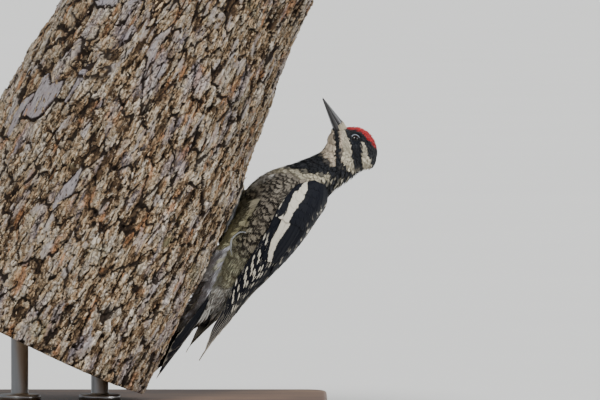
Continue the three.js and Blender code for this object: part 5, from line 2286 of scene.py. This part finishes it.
@dataclass(frozen=True)
class Foot:
    """A bare shank and its toes, two up the trunk and two down, each with a hooked claw."""

    side: int
    heel: Triple = (5.4, 96.5, 7.4)
    sole: Triple = (115.0, 9.4, 2.3)
    toes: tuple[Toe, ...] = (
        Toe(1, ((-3.2, -1.4), (-6.4, -3.2)), 0.95, (-4.6, -1.2)),
        Toe(2, ((4.6, -1.8), (9.6, -3.4)), 1.1, (5.6, -0.8)),
        Toe(3, ((6.2, -0.3), (13.0, -0.8)), 1.15, (5.4, -0.2)),
        Toe(4, ((-2.4, 2.2), (-8.0, 2.8)), 1.1, (-4.8, 0.4)),
    )

    def on_bark(self, offset: tuple[float, float], height: float) -> Array:
        """A point at a height over the bark, from its place up and outward of the sole.

        Args:
            offset: how far up and outward of the sole it lies.
            height: how far over the bark.

        Returns:
            The point.
        """
        y, z = self.sole[0] + offset[0], self.side * (self.sole[1] + offset[1])
        angle = math.asin(z / BIRD.trunk_radius)
        reach = float(bark_radius(np.array(y), np.array(angle))) + height
        return np.array([reach * math.cos(angle) - BIRD.trunk_radius, y, reach * math.sin(angle)])

    def build(self, skin: Material, horn: Material) -> None:
        """Makes the foot and claws in place of their nodes.

        Args:
            skin: the scaled skin's finish.
            horn: the claws' finish.
        """
        name = "left" if self.side > 0 else "right"
        heel = np.array([self.heel[0], self.heel[1], self.side * self.heel[2]])
        sole = self.on_bark((0, 0), self.sole[2])
        line = smooth_line(np.array([heel + (0.6, -1.2, 0), heel, (heel + sole) / 2, sole]), 40)
        limbs = [self.scaled(line, np.interp(np.linspace(0, 1, 40), [0, 0.3, 0.6, 1], [1.5, 1.55, 1.2, 1.5]))]
        for toe in self.toes:
            joints = [
                sole + 0.15 * (heel - sole), sole, self.on_bark(toe.joints[0], 1.7),
                self.on_bark(toe.joints[1], 1.35)
            ]
            line = smooth_line(np.array(joints), 44)
            along = np.linspace(0, 1, 44)
            pads = 1 + 0.1 * np.cos(along * 3 * 2 * math.pi)
            limbs.append(
                self.scaled(
                    line, toe.radius * np.interp(along, [0, 0.3, 0.9, 1], [1.1, 1.1, 0.95, 0.6]) * pads
                )
            )
            end = np.array(toe.joints[1])
            reach = [end + part * np.array(toe.claw) for part in (-0.08, 0.4, 0.8, 1.0)]
            hook = np.array([self.on_bark(tuple(p), h) for p, h in zip(reach, (1.35, 2.3, 1.5, -0.2))])
            claw = tube(smooth_line(hook, 22), 0.72 * (1 - np.linspace(0, 1, 22) ** 1.6 * 0.94), 14)
            add_piece(f"claw_horn_{name}_{toe.name}", claw, horn, (f"claw_{name}_{toe.name}",))
        add_piece(f"foot_skin_{name}", joined(limbs), skin, (f"foot_{name}",))

    @staticmethod
    def scaled(line: Array, radius: Array) -> Shape:
        """A limb with low scutes along it.

        Args:
            line: its middle line.
            radius: its radius at each point of the line.

        Returns:
            The limb.
        """
        fine = np.linspace(0, len(line) - 1, len(line) * 3)
        line = np.stack([np.interp(fine, np.arange(len(line)), line[:, i]) for i in range(3)], -1)
        radius = np.interp(fine, np.arange(len(radius)), radius)
        return tube(line, radius * (1 + 0.04 * np.abs(np.sin(fine * 1.05))), 16)

    @staticmethod
    def finishes() -> tuple[Material, Material]:
        """Scaled skin and dark claw horn."""
        skin, tree = Finish("scaled_shank", 0.45).start()
        along = tree.trait("along")
        wave = tree.math("ABSOLUTE", tree.math("SINE", tree.times(along, 3.4)))
        cloud = tree.cloud(tree.object_place(), 1500.0)
        shade = tree.mix(cloud, (0.06, 0.063, 0.065), (0.12, 0.122, 0.12))
        tree.colour(tree.mix(tree.ease(0.35, 0.05, wave), shade, (0.04, 0.04, 0.042)))
        tree.bumps(wave, 0.4, 0.0002)
        horn, tree = Finish("claw_horn", 0.3).start()
        streak = tree.cloud(tree.object_place(), 2200.0)
        tree.colour(tree.mix(streak, (0.02, 0.02, 0.022), (0.06, 0.056, 0.05)))
        return skin, horn


# ---- Trunk and stand ----------------------------------------------------------------


def bark_radius(y: Array, angle: Array) -> Array:
    """The trunk's radius over its bark, up the trunk and round from under the bird.

    Args:
        y: places up the trunk.
        angle: places round it from under the bird.

    Returns:
        The radii, in millimetres.
    """
    slimmer = 2 * (1 - ease(0, 70, y)) + 9 * ease(110, 235, y)
    away = 1 - np.exp(-((angle / 0.6) ** 2))
    lumps = 1.3 * np.sin(3 * angle + 0.021 * y) + 0.9 * np.sin(5 * angle - 0.034 * y)
    slimmer = slimmer + 3.2 * ease(127, 148, y) * np.exp(-(((np.abs(angle) - 0.5) / 0.36) ** 2))
    return BIRD.trunk_radius - slimmer + away * lumps


@dataclass(frozen=True)
class Log:
    """The cut length of trunk: plated bark with loose flakes round a core of wood."""

    length: float = 252.0
    rows: int = 330
    sides: int = 590
    bark: float = 5.0
    knot: tuple[float, float] = (146.0, 160.0)

    def relief(self, y: Array, angle: Array) -> tuple[Array, Array]:
        """The bark's height over its even radius, and its tone.

        Args:
            y: places up the trunk.
            angle: places round it from under the bird.

        Returns:
            Heights, and tones as a place on the palette, how dark its crevices are with painted shade in the
            deep places, how smooth.
        """
        twist = angle + 0.0016 * y * ease(0.9, 2.6, np.abs(angle)) * np.sign(angle) * ease(
            math.pi, 2.6, np.abs(angle)
        )
        radius = BIRD.trunk_radius
        space = np.stack([radius * np.cos(angle), y, radius * np.sin(angle)], -1)
        long = space * (1, 0.4, 1)
        warp = [
            1.9 * noise(long, 9, s) + 0.7 * noise(long, 2.4, s + 3) + 0.3 * noise(space, 1.1, s + 5)
            for s in (11, 12)
        ]
        around, up = radius * twist + warp[0], y + 1.5 * warp[1]
        in1, own1, face1 = plates(around, up, 6.6, 3.6, 21)
        in2, own2, face2 = plates(around, up, 3.3, 3.0, 33)
        in3, own3, face3 = plates(around, up, 1.8, 2.4, 45)
        smooth = ease(0.945, 0.96, own1) * ease(1.2, 1.9, angle) + 0.6 * ease(0.93, 0.94, own2)
        fine = 1 - 0.8 * smooth
        fissure = noise(np.stack([around, 0.09 * up, 0 * up], -1), 5.0, 51)
        near = ease(1.5, 0.7, np.abs(angle))
        lines = np.exp(-((fissure / 0.10) ** 2)) * (0.25 + 0.75 * near)
        height = 1.5 * (own1 - 0.5) + 1.6 * face1 - 1.1 * (1 - ease(0, 0.10, in1))
        height = height + fine * (1.2 * (own2 - 0.5) + 1.5 * face2 - 0.6 * (1 - ease(0, 0.13, in2)))
        height = height + fine * (0.7 * (own3 - 0.5) + 0.9 * face3 - 0.3 * (1 - ease(0, 0.2, in3)))
        height = (
            height + 0.15 * noise(space, 1.0, 57) + 0.8 * noise(space * (1, 0.3, 1), 17, 61) - 1.3 * lines
            - 0.8
        )
        ring = np.hypot((np.degrees(np.abs(angle)) - self.knot[0]) * 1.29 / 12, (y - self.knot[1]) / 8)
        ring = ring + 0.22 * noise(space, 5, 63)
        wrinkle = np.sin(9 * ring + 2 * noise(space, 3.5, 65))
        at_knot = ease(1.9, 0.9, ring) * (angle > 0)
        knot = (
            1.7 * np.exp(-(((ring - 0.95) / 0.35) ** 2)) - 2.4 * np.exp(-((ring / 0.45) ** 2))
            + 0.6 * wrinkle
        )
        height = height * (1 - 0.5 * at_knot) + at_knot * knot
        # the crevices' own dark colour and painted shade: plate borders, fissures and the knot's grooves
        # darken, and so does every place sunk deep in the relief
        crack_and_shade = 0.9 * (1 - ease(0.02, 0.14, in1))
        crack_and_shade = np.maximum(crack_and_shade, fine * 0.7 * (1 - ease(0.02, 0.13, in2)))
        crack_and_shade = np.maximum(crack_and_shade, ease(-1.6, -3.4, height) * 0.8)
        crack_and_shade = np.maximum(crack_and_shade, 0.95 * lines)
        crack_and_shade = np.maximum(crack_and_shade, at_knot * ease(0.1, -0.7, wrinkle) * 0.9)
        palette = (
            0.30 * own1 + 0.38 * own2 + 0.32 * own3 * fine + 0.16 * smooth + 0.05 * np.clip(height, -2, 2)
        )
        guard = np.exp(-((angle / 0.3) ** 2)) * ease(156, 126, y)
        height = height * (1 - 0.45 * guard)
        height = np.where(guard > 0.05, np.minimum(height, 0.1 + 2 * (1 - guard)), height)
        return height, np.stack([palette, crack_and_shade, smooth], -1)

    def build(self) -> None:
        """Makes the bark, its flakes and the wood in place of the trunk's node."""
        self.flake_piece(self.bark_pieces())
        self.wood_piece()

    def bark_pieces(self) -> Shape:
        """Makes the bark as two closed half shells, and gives the whole shell."""
        up = np.linspace(0, self.length, self.rows)
        turn = np.linspace(-math.pi, math.pi, self.sides, endpoint=False)
        y, angle = np.meshgrid(up, turn, indexing="ij")
        height, tone = self.relief(y.ravel(), angle.ravel())
        height, tone = height.reshape(y.shape), tone.reshape(*y.shape, 3)
        ends = ease(0, 2.5, y) * ease(self.length, self.length - 2.5, y)
        radius = bark_radius(y, angle) + height - 0.8 * (1 - ends)
        inner = bark_radius(y[[-1, 0]], angle[[-1, 0]]) - self.bark
        radius = np.concatenate([radius, inner])
        y = np.concatenate([y, y[[-1, 0]]])
        angle = np.concatenate([angle, angle[[-1, 0]]])
        tone = np.concatenate([tone, tone[[-1, 0]] * (1, 0.3, 0.2)])
        grid = np.stack([radius * np.cos(angle) - BIRD.trunk_radius, y, radius * np.sin(angle)], -1)
        whole = wrapped(grid)
        away = np.stack([np.cos(angle), np.zeros_like(angle), np.sin(angle)], -1) @ BIRD.axes
        outer = (
            np.concatenate([np.ones(self.rows), [0, 0]])[:, None]
            * ease(0.25, 0.5, np.abs(angle) + 0.01 * np.maximum(y - 125, 0))
        )
        outer = outer * ease(0, 6, y) * ease(self.length, self.length - 6, y)
        whole.traits = {"away": away.reshape(-1, 3), "loose": outer.ravel()}
        first, half = round((0.5 + BIRD.cling / (2 * math.pi)) * self.sides), self.sides // 2
        finish = self.bark_finish()
        for number, name in enumerate(("near", "far")):
            columns = (first + number * half + np.arange(half + 1)) % self.sides
            part = strip(grid[:, columns], tone[:, columns])
            piece = add_piece(f"trunk_bark_{name}", part, finish, () if number else ("trunk_perch",))
            for cap in piece.data.polygons[-2:]:
                cap.use_smooth = False
        return whole

    @staticmethod
    def log_place(tree: Tree) -> Socket:
        """The place in the log's own frame.

        Args:
            tree: the material's nodes.

        Returns:
            The place, with Z along the log's middle.
        """
        foot = tuple(v / 1000 for v in BIRD.trunk_foot)
        made = tree.node(
            "ShaderNodeMapping", {0: tree.object_place(), 1: foot, 2: (0.0, BIRD.lean, 0.0)},
            vector_type="TEXTURE"
        )
        return made.outputs[0]

    @classmethod
    def bark_shading(cls, tree: Tree, palette: object, crack_and_shade: object, smooth: object) -> None:
        """Colours bark from a place on its palette, its dark cracks with painted shade in them, and how
        smooth it is.

        Args:
            tree: the material's nodes.
            palette: the place on the palette.
            crack_and_shade: how dark each crevice is, with painted shade in the deep places.
            smooth: how smooth the bark is.
        """
        place = cls.log_place(tree)
        long = tree.stretched(place, (1.0, 1.0, 0.28))
        stir = tree.node("ShaderNodeTexNoise", {"Vector": place, "Scale": 420.0, "Detail": 4.0}).outputs[1]
        stirred = tree.node(
            "ShaderNodeVectorMath", {0: stir, 1: (0.0042, 0.0042, 0.0042), 2: long},
            operation="MULTIPLY_ADD"
        ).outputs[0]
        chip = tree.node("ShaderNodeTexVoronoi", {"Vector": stirred, "Scale": 330.0}, distance="MINKOWSKI")
        edge = tree.node(
            "ShaderNodeTexVoronoi", {"Vector": stirred, "Scale": 400.0}, feature="DISTANCE_TO_EDGE"
        )
        tone = tree.parts(chip.outputs["Color"])[0]
        crackle = tree.times(tree.ease(0.12, 0.0, edge.outputs[0]), tree.times_plus(smooth, -0.8, 0.8))
        grit = tree.cloud(long, 900.0, 6.0)
        speck = tree.cloud(place, 2600.0, 2.0)
        broad = tree.cloud(place, 26.0, 2.0)
        shift = tree.times_plus(grit, 0.5, -0.25)
        shift = tree.plus(shift, tree.times_plus(tone, 0.6, -0.3))
        shift = tree.plus(shift, tree.times_plus(broad, 0.3, -0.15))
        spot = tree.math("ADD", palette, shift, clamp=True)
        ramp = tree.node("ShaderNodeValToRGB", {0: spot})
        stops = ((0.10, (0.07, 0.042, 0.022)), (0.26, (0.25, 0.165, 0.095)), (0.38, (0.42, 0.29, 0.17)),
                 (0.46, (0.49, 0.375, 0.24)), (0.54, (0.37, 0.30, 0.225)), (0.64, (0.52, 0.42, 0.295)),
                 (0.76, (0.44, 0.38, 0.315)), (0.9, (0.60, 0.52, 0.42)))
        ramp.color_ramp.elements[0].position = stops[0][0]
        ramp.color_ramp.elements[0].color = (*stops[0][1], 1)
        ramp.color_ramp.elements[1].position = stops[-1][0]
        ramp.color_ramp.elements[1].color = (*stops[-1][1], 1)
        for position, colour in stops[1:-1]:
            ramp.color_ramp.elements.new(position).color = (*colour, 1)
        rust = tree.times(tree.ease(0.57, 0.68, tree.cloud(long, 150.0, 4.0)), 0.75)
        colour = tree.mix(rust, ramp.outputs[0], (0.40, 0.19, 0.085))
        lilac = tree.times(tree.ease(0.56, 0.66, tree.cloud(long, 95.0, 5.0)), 0.45)
        colour = tree.mix(lilac, colour, (0.40, 0.37, 0.42))
        colour = tree.mix(tree.times(smooth, 0.75), colour, (0.21, 0.20, 0.235))
        moss = tree.times(tree.ease(0.6, 0.72, tree.cloud(place, 48.0, 6.0)), 0.4)
        colour = tree.mix(moss, colour, (0.24, 0.24, 0.14))
        # painted shade: crevices and deep places go near black
        dark = tree.most(tree.ease(0.1, 0.75, crack_and_shade), tree.times(tree.ease(0.46, 0.30, grit), 0.95))
        dark = tree.most(dark, tree.times(crackle, 0.7))
        dark = tree.most(dark, tree.times(tree.ease(0.38, 0.28, speck), 0.6))
        out, _, up = tree.parts(place)
        # painted light: the bark is brightened by up to a third low on the trunk and on its side towards the
        # bird, to lift the shade the lamps leave there
        painted_light_gain = tree.times_plus(tree.times(tree.ease(0.0, 0.055, out), tree.ease(0.2, 0.06, up)), 0.34, 1.0)
        colour = tree.node("ShaderNodeVectorMath", {0: colour, 3: painted_light_gain}, operation="SCALE").outputs[0]
        colour = tree.mix(tree.times(dark, 0.97), colour, (0.014, 0.008, 0.005))
        tree.colour(colour)
        height = tree.plus(tree.times(grit, 0.9), tree.times(speck, 0.3))
        height = tree.plus(height, tree.times_plus(tone, 0.5, tree.times(crackle, -0.6)))
        tree.bumps(height, 1.0, 0.0013)

    def bark_finish(self) -> Material:
        """The bark's own finish."""
        made, tree = Finish("plated_bark", 0.92, (("Specular IOR Level", 0.2),)).start()
        palette, crack_and_shade, smooth = tree.parts(tree.trait("tone", "Vector"))
        self.bark_shading(tree, palette, crack_and_shade, smooth)
        return made

    def flake_piece(self, bark: Shape) -> None:
        """Loose flakes set over the bark by a node tree, made one plain mesh.

        Args:
            bark: the whole shell, with where flakes lie and which way they face.
        """
        made, tree = Finish("loose_flakes", 0.92, (("Specular IOR Level", 0.2),)).start()
        tint = tree.trait("tint")
        self.bark_shading(tree, tree.times_plus(tint, 0.5, 0.22), 0.0, 0.0)
        rng = np.random.default_rng(SEED)
        kinds = bpy.data.collections.new("flake_kinds")
        for number in range(9):
            kinds.objects.link(self.flake(number, rng, made))
        carrier = make_object("flake_seats", Shape(BIRD.to_world(bark.points), bark.faces, bark.traits), made)
        scatter(
            carrier, kinds, made,
            {"Spacing": 0.0034, "Density": 24000.0, "Least": 0.3, "Most": 0.85, "Seed": SEED}
        )
        plain = evaluated_mesh(carrier)
        bpy.data.objects.remove(carrier)
        flakes = linked("trunk_flakes", plain)
        for kind in list(kinds.objects):
            bpy.data.objects.remove(kind)
        bpy.data.collections.remove(kinds)
        plain.materials.clear()
        plain.materials.append(made)
        settle_piece(flakes)

    @staticmethod
    def flake(number: int, rng: np.random.Generator, finish: Material) -> Object:
        """One thin curled flake, in metres, long in Y.

        Args:
            number: which flake it is.
            rng: where the random draws come from.
            finish: its finish.

        Returns:
            The flake as an object.
        """
        rows, columns = 4, 3
        v, u = np.meshgrid(np.linspace(-1, 1, rows), np.linspace(-1, 1, columns), indexing="ij")
        wide = 1.25 * (1 - 0.45 * v**2) * (1 + rng.normal(0, 0.2, (rows, 1)))
        x = u * wide + rng.normal(0, 0.2, u.shape) + 0.35 * v * rng.normal()
        y = 3.3 * v * (1 - 0.12 * u**2) + rng.normal(0, 0.35, u.shape)
        z = (
            0.12 + 0.5 * rng.random() * v**2 - 0.16 * u**2 + 0.3 * rng.random() * v
            + rng.normal(0, 0.08, u.shape)
        )
        top = np.stack([x, y, z], -1)[None] / 1000
        shape = sheets(top, np.tile((0.0, 0.0, 1.0), (1, rows, columns, 1)), 0.00055)
        return make_object(f"flake_{number}", shape, finish, False)

    def wood_piece(self) -> None:
        """The closed core of wood, whose sawn ends show inside the bark."""
        sides, inset = 150, self.bark - 0.4
        turn = np.linspace(-math.pi, math.pi, sides, endpoint=False)
        rings = []
        foot = ((0.5, 30.0), (0.5, 0.6), (0.9, 0.0))
        for y, shrink in (*foot, *((self.length - y, shrink) for y, shrink in foot[::-1])):
            radius = bark_radius(np.array(y), turn) - inset - shrink
            rings.append(
                np.stack(
                    [radius * np.cos(turn) - BIRD.trunk_radius, np.full(sides, y), radius * np.sin(turn)],
                    -1
                )
            )
        shape = closed_rings(np.concatenate(rings), len(rings), sides, {})
        made, tree = Finish("sawn_wood", 0.8).start()
        place = self.log_place(tree)
        x, y, _ = tree.parts(place)
        wander = tree.times_plus(tree.cloud(place, 30.0), 0.012, -0.006)
        reach = tree.plus(tree.math("SQRT", tree.plus(tree.times(x, x), tree.times(y, y))), wander)
        rings_wave = tree.math("SINE", tree.times(reach, 3000.0))
        saw = tree.cloud(tree.stretched(place, (1500.0, 90.0, 90.0)), 1.0)
        colour = tree.mix(tree.ease(-0.6, 0.9, rings_wave), (0.50, 0.36, 0.21), (0.36, 0.23, 0.12))
        colour = tree.mix(tree.ease(0.062, 0.067, reach), colour, (0.16, 0.09, 0.05))
        colour = tree.mix(tree.times(saw, 0.5), colour, (0.60, 0.47, 0.31))
        # painted shade round each rod where it goes into the wood
        tree.colour(tree.mix(self.painted_bore_shade(tree), colour, (0.02, 0.014, 0.01)))
        tree.bumps(saw, 0.5, 0.0004)
        add_piece("trunk_wood", shape, made, smooth=False)

    @staticmethod
    def painted_bore_shade(tree: Tree) -> Socket:
        """A dark ring of painted shade round each rod, where it goes into its bore.

        Args:
            tree: the wood's nodes.

        Returns:
            A mask, 1 where a ring is.
        """
        x, y, _ = tree.parts(tree.object_place())
        mask = None
        for rod in Stand().rods:
            gap = tree.minus(x, rod / 1000)
            reach = tree.math("SQRT", tree.plus(tree.times(gap, gap), tree.times(y, y)))
            ring = tree.ease(0.0058, 0.0054, reach)
            mask = ring if mask is None else tree.most(mask, ring)
        return mask


def wrapped(grid: Array) -> Shape:
    """A closed ring-shaped surface from a grid whose rows and columns both come round.

    Args:
        grid: (M, N, 3) points.

    Returns:
        The shape, facing outwards.
    """
    rows, columns = grid.shape[:2]
    index = np.arange(rows * columns).reshape(rows, columns)
    over, after = np.roll(index, -1, axis=1), np.roll(index, -1, axis=0)
    faces = np.stack([index, over, np.roll(after, -1, axis=1), after], -1).reshape(-1, 4)
    flat = grid.reshape(-1, 3)
    if volume(flat - flat.mean(0), faces) < 0:
        faces = faces[:, ::-1]
    return Shape(flat, [faces])


def strip(grid: Array, tone: Array) -> Shape:
    """A closed shell from a grid whose rows come round, capped at its first and last columns.

    Args:
        grid: (M, N, 3) points.
        tone: (M, N, 3) values of the tone trait.

    Returns:
        The shape, facing outwards.
    """
    rows, columns = grid.shape[:2]
    index = np.arange(rows * columns).reshape(rows, columns)
    after = np.roll(index, -1, axis=0)
    sides = np.stack([index[:, :-1], index[:, 1:], after[:, 1:], after[:, :-1]], -1).reshape(-1, 4)
    caps = np.stack([index[:, 0], index[::-1, -1]])
    points = grid.reshape(-1, 3)
    if volume(points - points.mean(0), sides) < 0:
        sides, caps = sides[:, ::-1], caps[:, ::-1]
    return Shape(points, [sides, caps], {"tone": tone.reshape(-1, 3)})


def scatter(carrier: Object, kinds: bpy.types.Collection, finish: Material, sizes: dict[str, float]) -> None:
    """Adds a modifier that sets small parts over a surface, along the trunk.

    Args:
        carrier: the surface, with "away" and "loose" traits.
        kinds: the parts.
        finish: their finish.
        sizes: the tree's named inputs.
    """
    sizes_in = {"Spacing": "Float", "Density": "Float", "Least": "Float", "Most": "Float", "Seed": "Int"}
    inputs = {"Surface": "Geometry", **sizes_in, "Kinds": "Collection", "Finish": "Material"}
    tree, group_in, group_out = new_group("Loose parts", inputs, {"Parts": "Geometry"}, "Geometry")
    given = group_in.outputs
    away, loose = (
        tree.node("GeometryNodeInputNamedAttribute", {"Name": name}, data_type=kind).outputs[0]
        for name, kind in (("away", "FLOAT_VECTOR"), ("loose", "FLOAT"))
    )
    surface = {"Mesh": given["Surface"], "Distance Min": given["Spacing"], "Density Max": given["Density"]}
    spread = tree.node(
        "GeometryNodeDistributePointsOnFaces",
        {**surface, "Density Factor": loose, "Seed": given["Seed"]},
        distribute_method="POISSON",
    )
    up = tuple(float(v) for v in BIRD.axes[1])
    face_out = tree.node("FunctionNodeAlignRotationToVector", {"Vector": away}, axis="Z")
    face_up = {"Rotation": face_out.outputs[0], "Vector": up}
    along = tree.node("FunctionNodeAlignRotationToVector", face_up, axis="Y", pivot_axis="Z")
    tilts = {0: (-0.16, -0.1, -0.5), 1: (0.16, 0.1, 0.5), "Seed": given["Seed"]}
    turn = tree.node("FunctionNodeRandomValue", tilts, data_type="FLOAT_VECTOR")
    turns = {"Rotation": along.outputs[0], "Rotate By": turn.outputs[0]}
    turned = tree.node("FunctionNodeRotateRotation", turns, rotation_space="LOCAL")
    scales = {2: given["Least"], 3: given["Most"], "Seed": given["Seed"]}
    size = tree.node("FunctionNodeRandomValue", scales, data_type="FLOAT")
    kinds_in = {"Collection": given["Kinds"], "Separate Children": True, "Reset Children": True}
    parts = tree.node("GeometryNodeCollectionInfo", kinds_in)
    seats = {"Points": spread.outputs[0], "Rotation": turned.outputs[0], "Scale": size.outputs[1]}
    placed = tree.node(
        "GeometryNodeInstanceOnPoints", {**seats, "Instance": parts.outputs[0], "Pick Instance": True}
    )
    tint = tree.node("FunctionNodeRandomValue", {"Seed": 5}, data_type="FLOAT")
    values = {"Geometry": placed.outputs[0], "Name": "tint", "Value": tint.outputs[1]}
    stored = tree.node("GeometryNodeStoreNamedAttribute", values, data_type="FLOAT", domain="INSTANCE")
    real = tree.node("GeometryNodeRealizeInstances", {0: stored.outputs[0]})
    dressed = tree.node("GeometryNodeSetMaterial", {"Geometry": real.outputs[0], "Material": given["Finish"]})
    tree.feed(group_out.inputs[0], dressed.outputs[0])
    modifier = carrier.modifiers.new("loose_parts", "NODES")
    modifier.node_group = tree.tree
    values = {**sizes, "Kinds": kinds, "Finish": finish}
    for item in tree.tree.interface.items_tree:
        if item.item_type == "SOCKET" and item.name in values:
            modifier[item.identifier] = values[item.name]


@dataclass(frozen=True)
class Stand:
    """A plain wooden base and two steel rods that hold the log."""

    length: float = 250.0
    depth: float = 190.0
    thickness: float = 18.0
    corner: float = 14.0
    rods: tuple[float, float] = (-52.0, -6.0)
    rod_radius: float = 5.0
    flange: float = 12.0
    grip: float = 16.0

    def build(self) -> None:
        """Makes the base and the rods in place of their nodes."""
        add_world_piece("stand_board", self.base(), self.wood(), ("stand_base",))
        steel = self.steel()
        for number, x in enumerate(self.rods, 1):
            add_world_piece(
                f"stand_steel_{number}", self.rod(x), steel, (f"stand_rod_{number}",)
            )

    def base(self) -> Shape:
        """The closed board with eased edges."""
        turn = np.linspace(0, math.pi / 2, 14)
        profile = (
            (4.0, 0.0), (1.6, 0.0), (0.5, 0.35), (0.0, 1.4), (0.0, 15.6), (0.35, 17.0), (1.0, 17.65),
            (2.2, 18.0), (5.0, 18.0)
        )
        rings = []
        for inset, z in profile:
            ring = []
            for k, (sx, sy) in enumerate(((1, 1), (-1, 1), (-1, -1), (1, -1))):
                angle = turn + k * math.pi / 2
                reach = self.corner - inset
                ring.append(np.stack([sx * (self.length / 2 - self.corner) + reach * np.cos(angle),
                                      sy * (self.depth / 2 - self.corner) + reach * np.sin(angle),
                                      np.full(len(turn), z)], -1))
            rings.append(np.concatenate(ring))
        return closed_rings(np.concatenate(rings), len(rings), len(rings[0]), {})

    def rod(self, x: float) -> Shape:
        """A rod with a round foot, whose top goes up into the log.

        Args:
            x: where it stands along the base.

        Returns:
            The closed rod.
        """
        foot_x, _, foot_z = BIRD.trunk_foot
        top = foot_z - (x - foot_x) * math.tan(BIRD.lean) + self.grip
        low = self.thickness
        profile = (
            (self.flange, low), (self.flange, low + 2.2), (self.flange - 0.3, low + 2.75),
            (self.flange - 0.9, low + 3.0), (self.rod_radius + 0.9, low + 3.05),
            (self.rod_radius + 0.25, low + 3.3), (self.rod_radius, low + 4.0), (self.rod_radius, top - 1),
            (self.rod_radius - 1, top)
        )
        turn = np.linspace(0, 2 * math.pi, 64, endpoint=False)
        rings = [np.stack([x + r * np.cos(turn), r * np.sin(turn), np.full(64, z)], -1) for r, z in profile]
        return closed_rings(np.concatenate(rings), len(profile), 64, {})

    @staticmethod
    def wood() -> Material:
        """Oiled dark wood with its grain along X."""
        made, tree = Finish("oiled_wood", 0.42, (("Coat Weight", 0.12), ("Coat Roughness", 0.3))).start()
        place = tree.object_place()
        long = tree.stretched(place, (7.0, 60.0, 60.0))
        grain = tree.cloud(long, 1.6, 6.0)
        fine = tree.cloud(tree.stretched(place, (60.0, 1500.0, 1500.0)), 1.0, 2.0)
        colour = tree.mix(tree.ease(0.35, 0.65, grain), (0.115, 0.058, 0.030), (0.22, 0.125, 0.066))
        colour = tree.mix(tree.times(tree.ease(0.55, 0.35, fine), 0.6), colour, (0.05, 0.025, 0.014))
        group = tree.node("ShaderNodeGroup", node_tree=weathering_group())
        for socket, value in enumerate((place, colour, 12.0, 0.25)):
            tree.feed(group.inputs[socket], value)
        tree.colour(group.outputs[0])
        tree.bumps(fine, 0.15, 0.0001)
        return made

    @staticmethod
    def steel() -> Material:
        """Brushed steel."""
        made, tree = Finish("brushed_steel", 0.34, (("Metallic", 1.0),)).start()
        streak = tree.cloud(tree.stretched(tree.object_place(), (2500.0, 2500.0, 25.0)), 1.0)
        tree.colour(tree.mix(streak, (0.42, 0.42, 0.43), (0.62, 0.62, 0.62)))
        tree.gloss(tree.times_plus(streak, 0.2, 0.24))
        return made


def add_world_piece(
    name: str, shape: Shape, finish: Material, replaces: tuple[str, ...]
) -> Object:
    """Makes a finished piece from points in world millimetres."""
    return settle_piece(make_object(name, Shape(shape.points / 1000, shape.faces), finish), replaces)


# ---- Studio -------------------------------------------------------------------------


@dataclass(frozen=True)
class Studio:
    """A plain floor, soft light and the camera."""

    target: Triple = (0.1092, 0.0, 0.1327)
    frame_width: float = 0.3448
    distance: float = 4.0
    elevation: float = math.radians(2)
    sensor: float = 36.0
    # each light's name, the way to it, its strength and its width in degrees
    lights: tuple = (
        ("key_light", (-0.18, -0.85, 0.9), 3.7, 22),
        ("side_light", (0.95, -0.4, 0.4), 1.9, 35),
        ("rim_light", (0.7, 0.9, 0.8), 1.2, 30),
    )
    air: Colour = (0.83, 0.87, 0.92)
    air_strength: float = 0.3
    floor_reach: float = 300.0
    floor_height: float = -0.0002

    def build(self) -> None:
        """Makes the floor, the lights and the camera."""
        self.floor()
        for light in self.lights:
            self.sun(*light)
        world = bpy.data.worlds.new("studio_air")
        world.use_nodes = True
        background = world.node_tree.nodes["Background"]
        background.inputs[0].default_value = (*self.air, 1)
        background.inputs[1].default_value = self.air_strength
        bpy.context.scene.world = world
        self.camera()

    def floor(self) -> None:
        """A wide pale floor that reaches past every view."""
        made, tree = Finish("studio_floor", 0.9).start()
        cloud = tree.cloud(tree.object_place(), 3.0)
        tree.colour(tree.mix(cloud, (0.72, 0.72, 0.70), (0.76, 0.76, 0.74)))
        reach, height = self.floor_reach, self.floor_height
        signs = ((-1, -1), (1, -1), (1, 1), (-1, 1))
        corners = np.array([(x * reach, y * reach, height) for x, y in signs])
        make_object("floor", Shape(corners, [np.array([[0, 1, 2, 3]])]), made, False)

    def sun(self, name: str, towards: Triple, strength: float, softness: float) -> None:
        """A soft light from far off.

        Args:
            name: the light's name.
            towards: the way to it.
            strength: its strength.
            softness: its width, in degrees.
        """
        data = bpy.data.lights.new(name, "SUN")
        data.energy = strength
        data.angle = math.radians(softness)
        light = linked(name, data)
        light.rotation_mode = "QUATERNION"
        light.rotation_quaternion = Vector(towards).to_track_quat("Z", "Y")

    def camera(self) -> None:
        """The camera, level with the bird and a little above it."""
        data = bpy.data.cameras.new("camera")
        data.sensor_width = self.sensor
        data.lens = self.sensor * self.distance / self.frame_width
        data.clip_start, data.clip_end = 0.1, 1000.0
        camera = linked("camera", data)
        back = Vector((0, -math.cos(self.elevation), math.sin(self.elevation)))
        camera.location = Vector(self.target) + back * self.distance
        camera.rotation_mode = "QUATERNION"
        camera.rotation_quaternion = back.to_track_quat("Z", "Y")
        bpy.context.scene.camera = camera


def main() -> None:
    """Builds every sub-assembly in order and reports each piece."""
    coat = Coat()
    skin = Skin(coat)
    skin.build()
    bill = Bill()
    bill.build()
    coat.build(skin, bill)
    wing_finish = WingFinish("wing_feathers", 0.55, (("Specular IOR Level", 0.12),)).build()
    for side in (1, -1):
        FoldedWing(side).build(wing_finish)
    Tail().build(wing_finish)
    ball, lid = Eye.finishes()
    shank, horn = Foot.finishes()
    for side in (1, -1):
        Eye(side).build(ball, lid)
        Foot(side).build(shank, horn)
    Log().build()
    Stand().build()
    Studio().build()


if __name__ == "__main__":
    main()
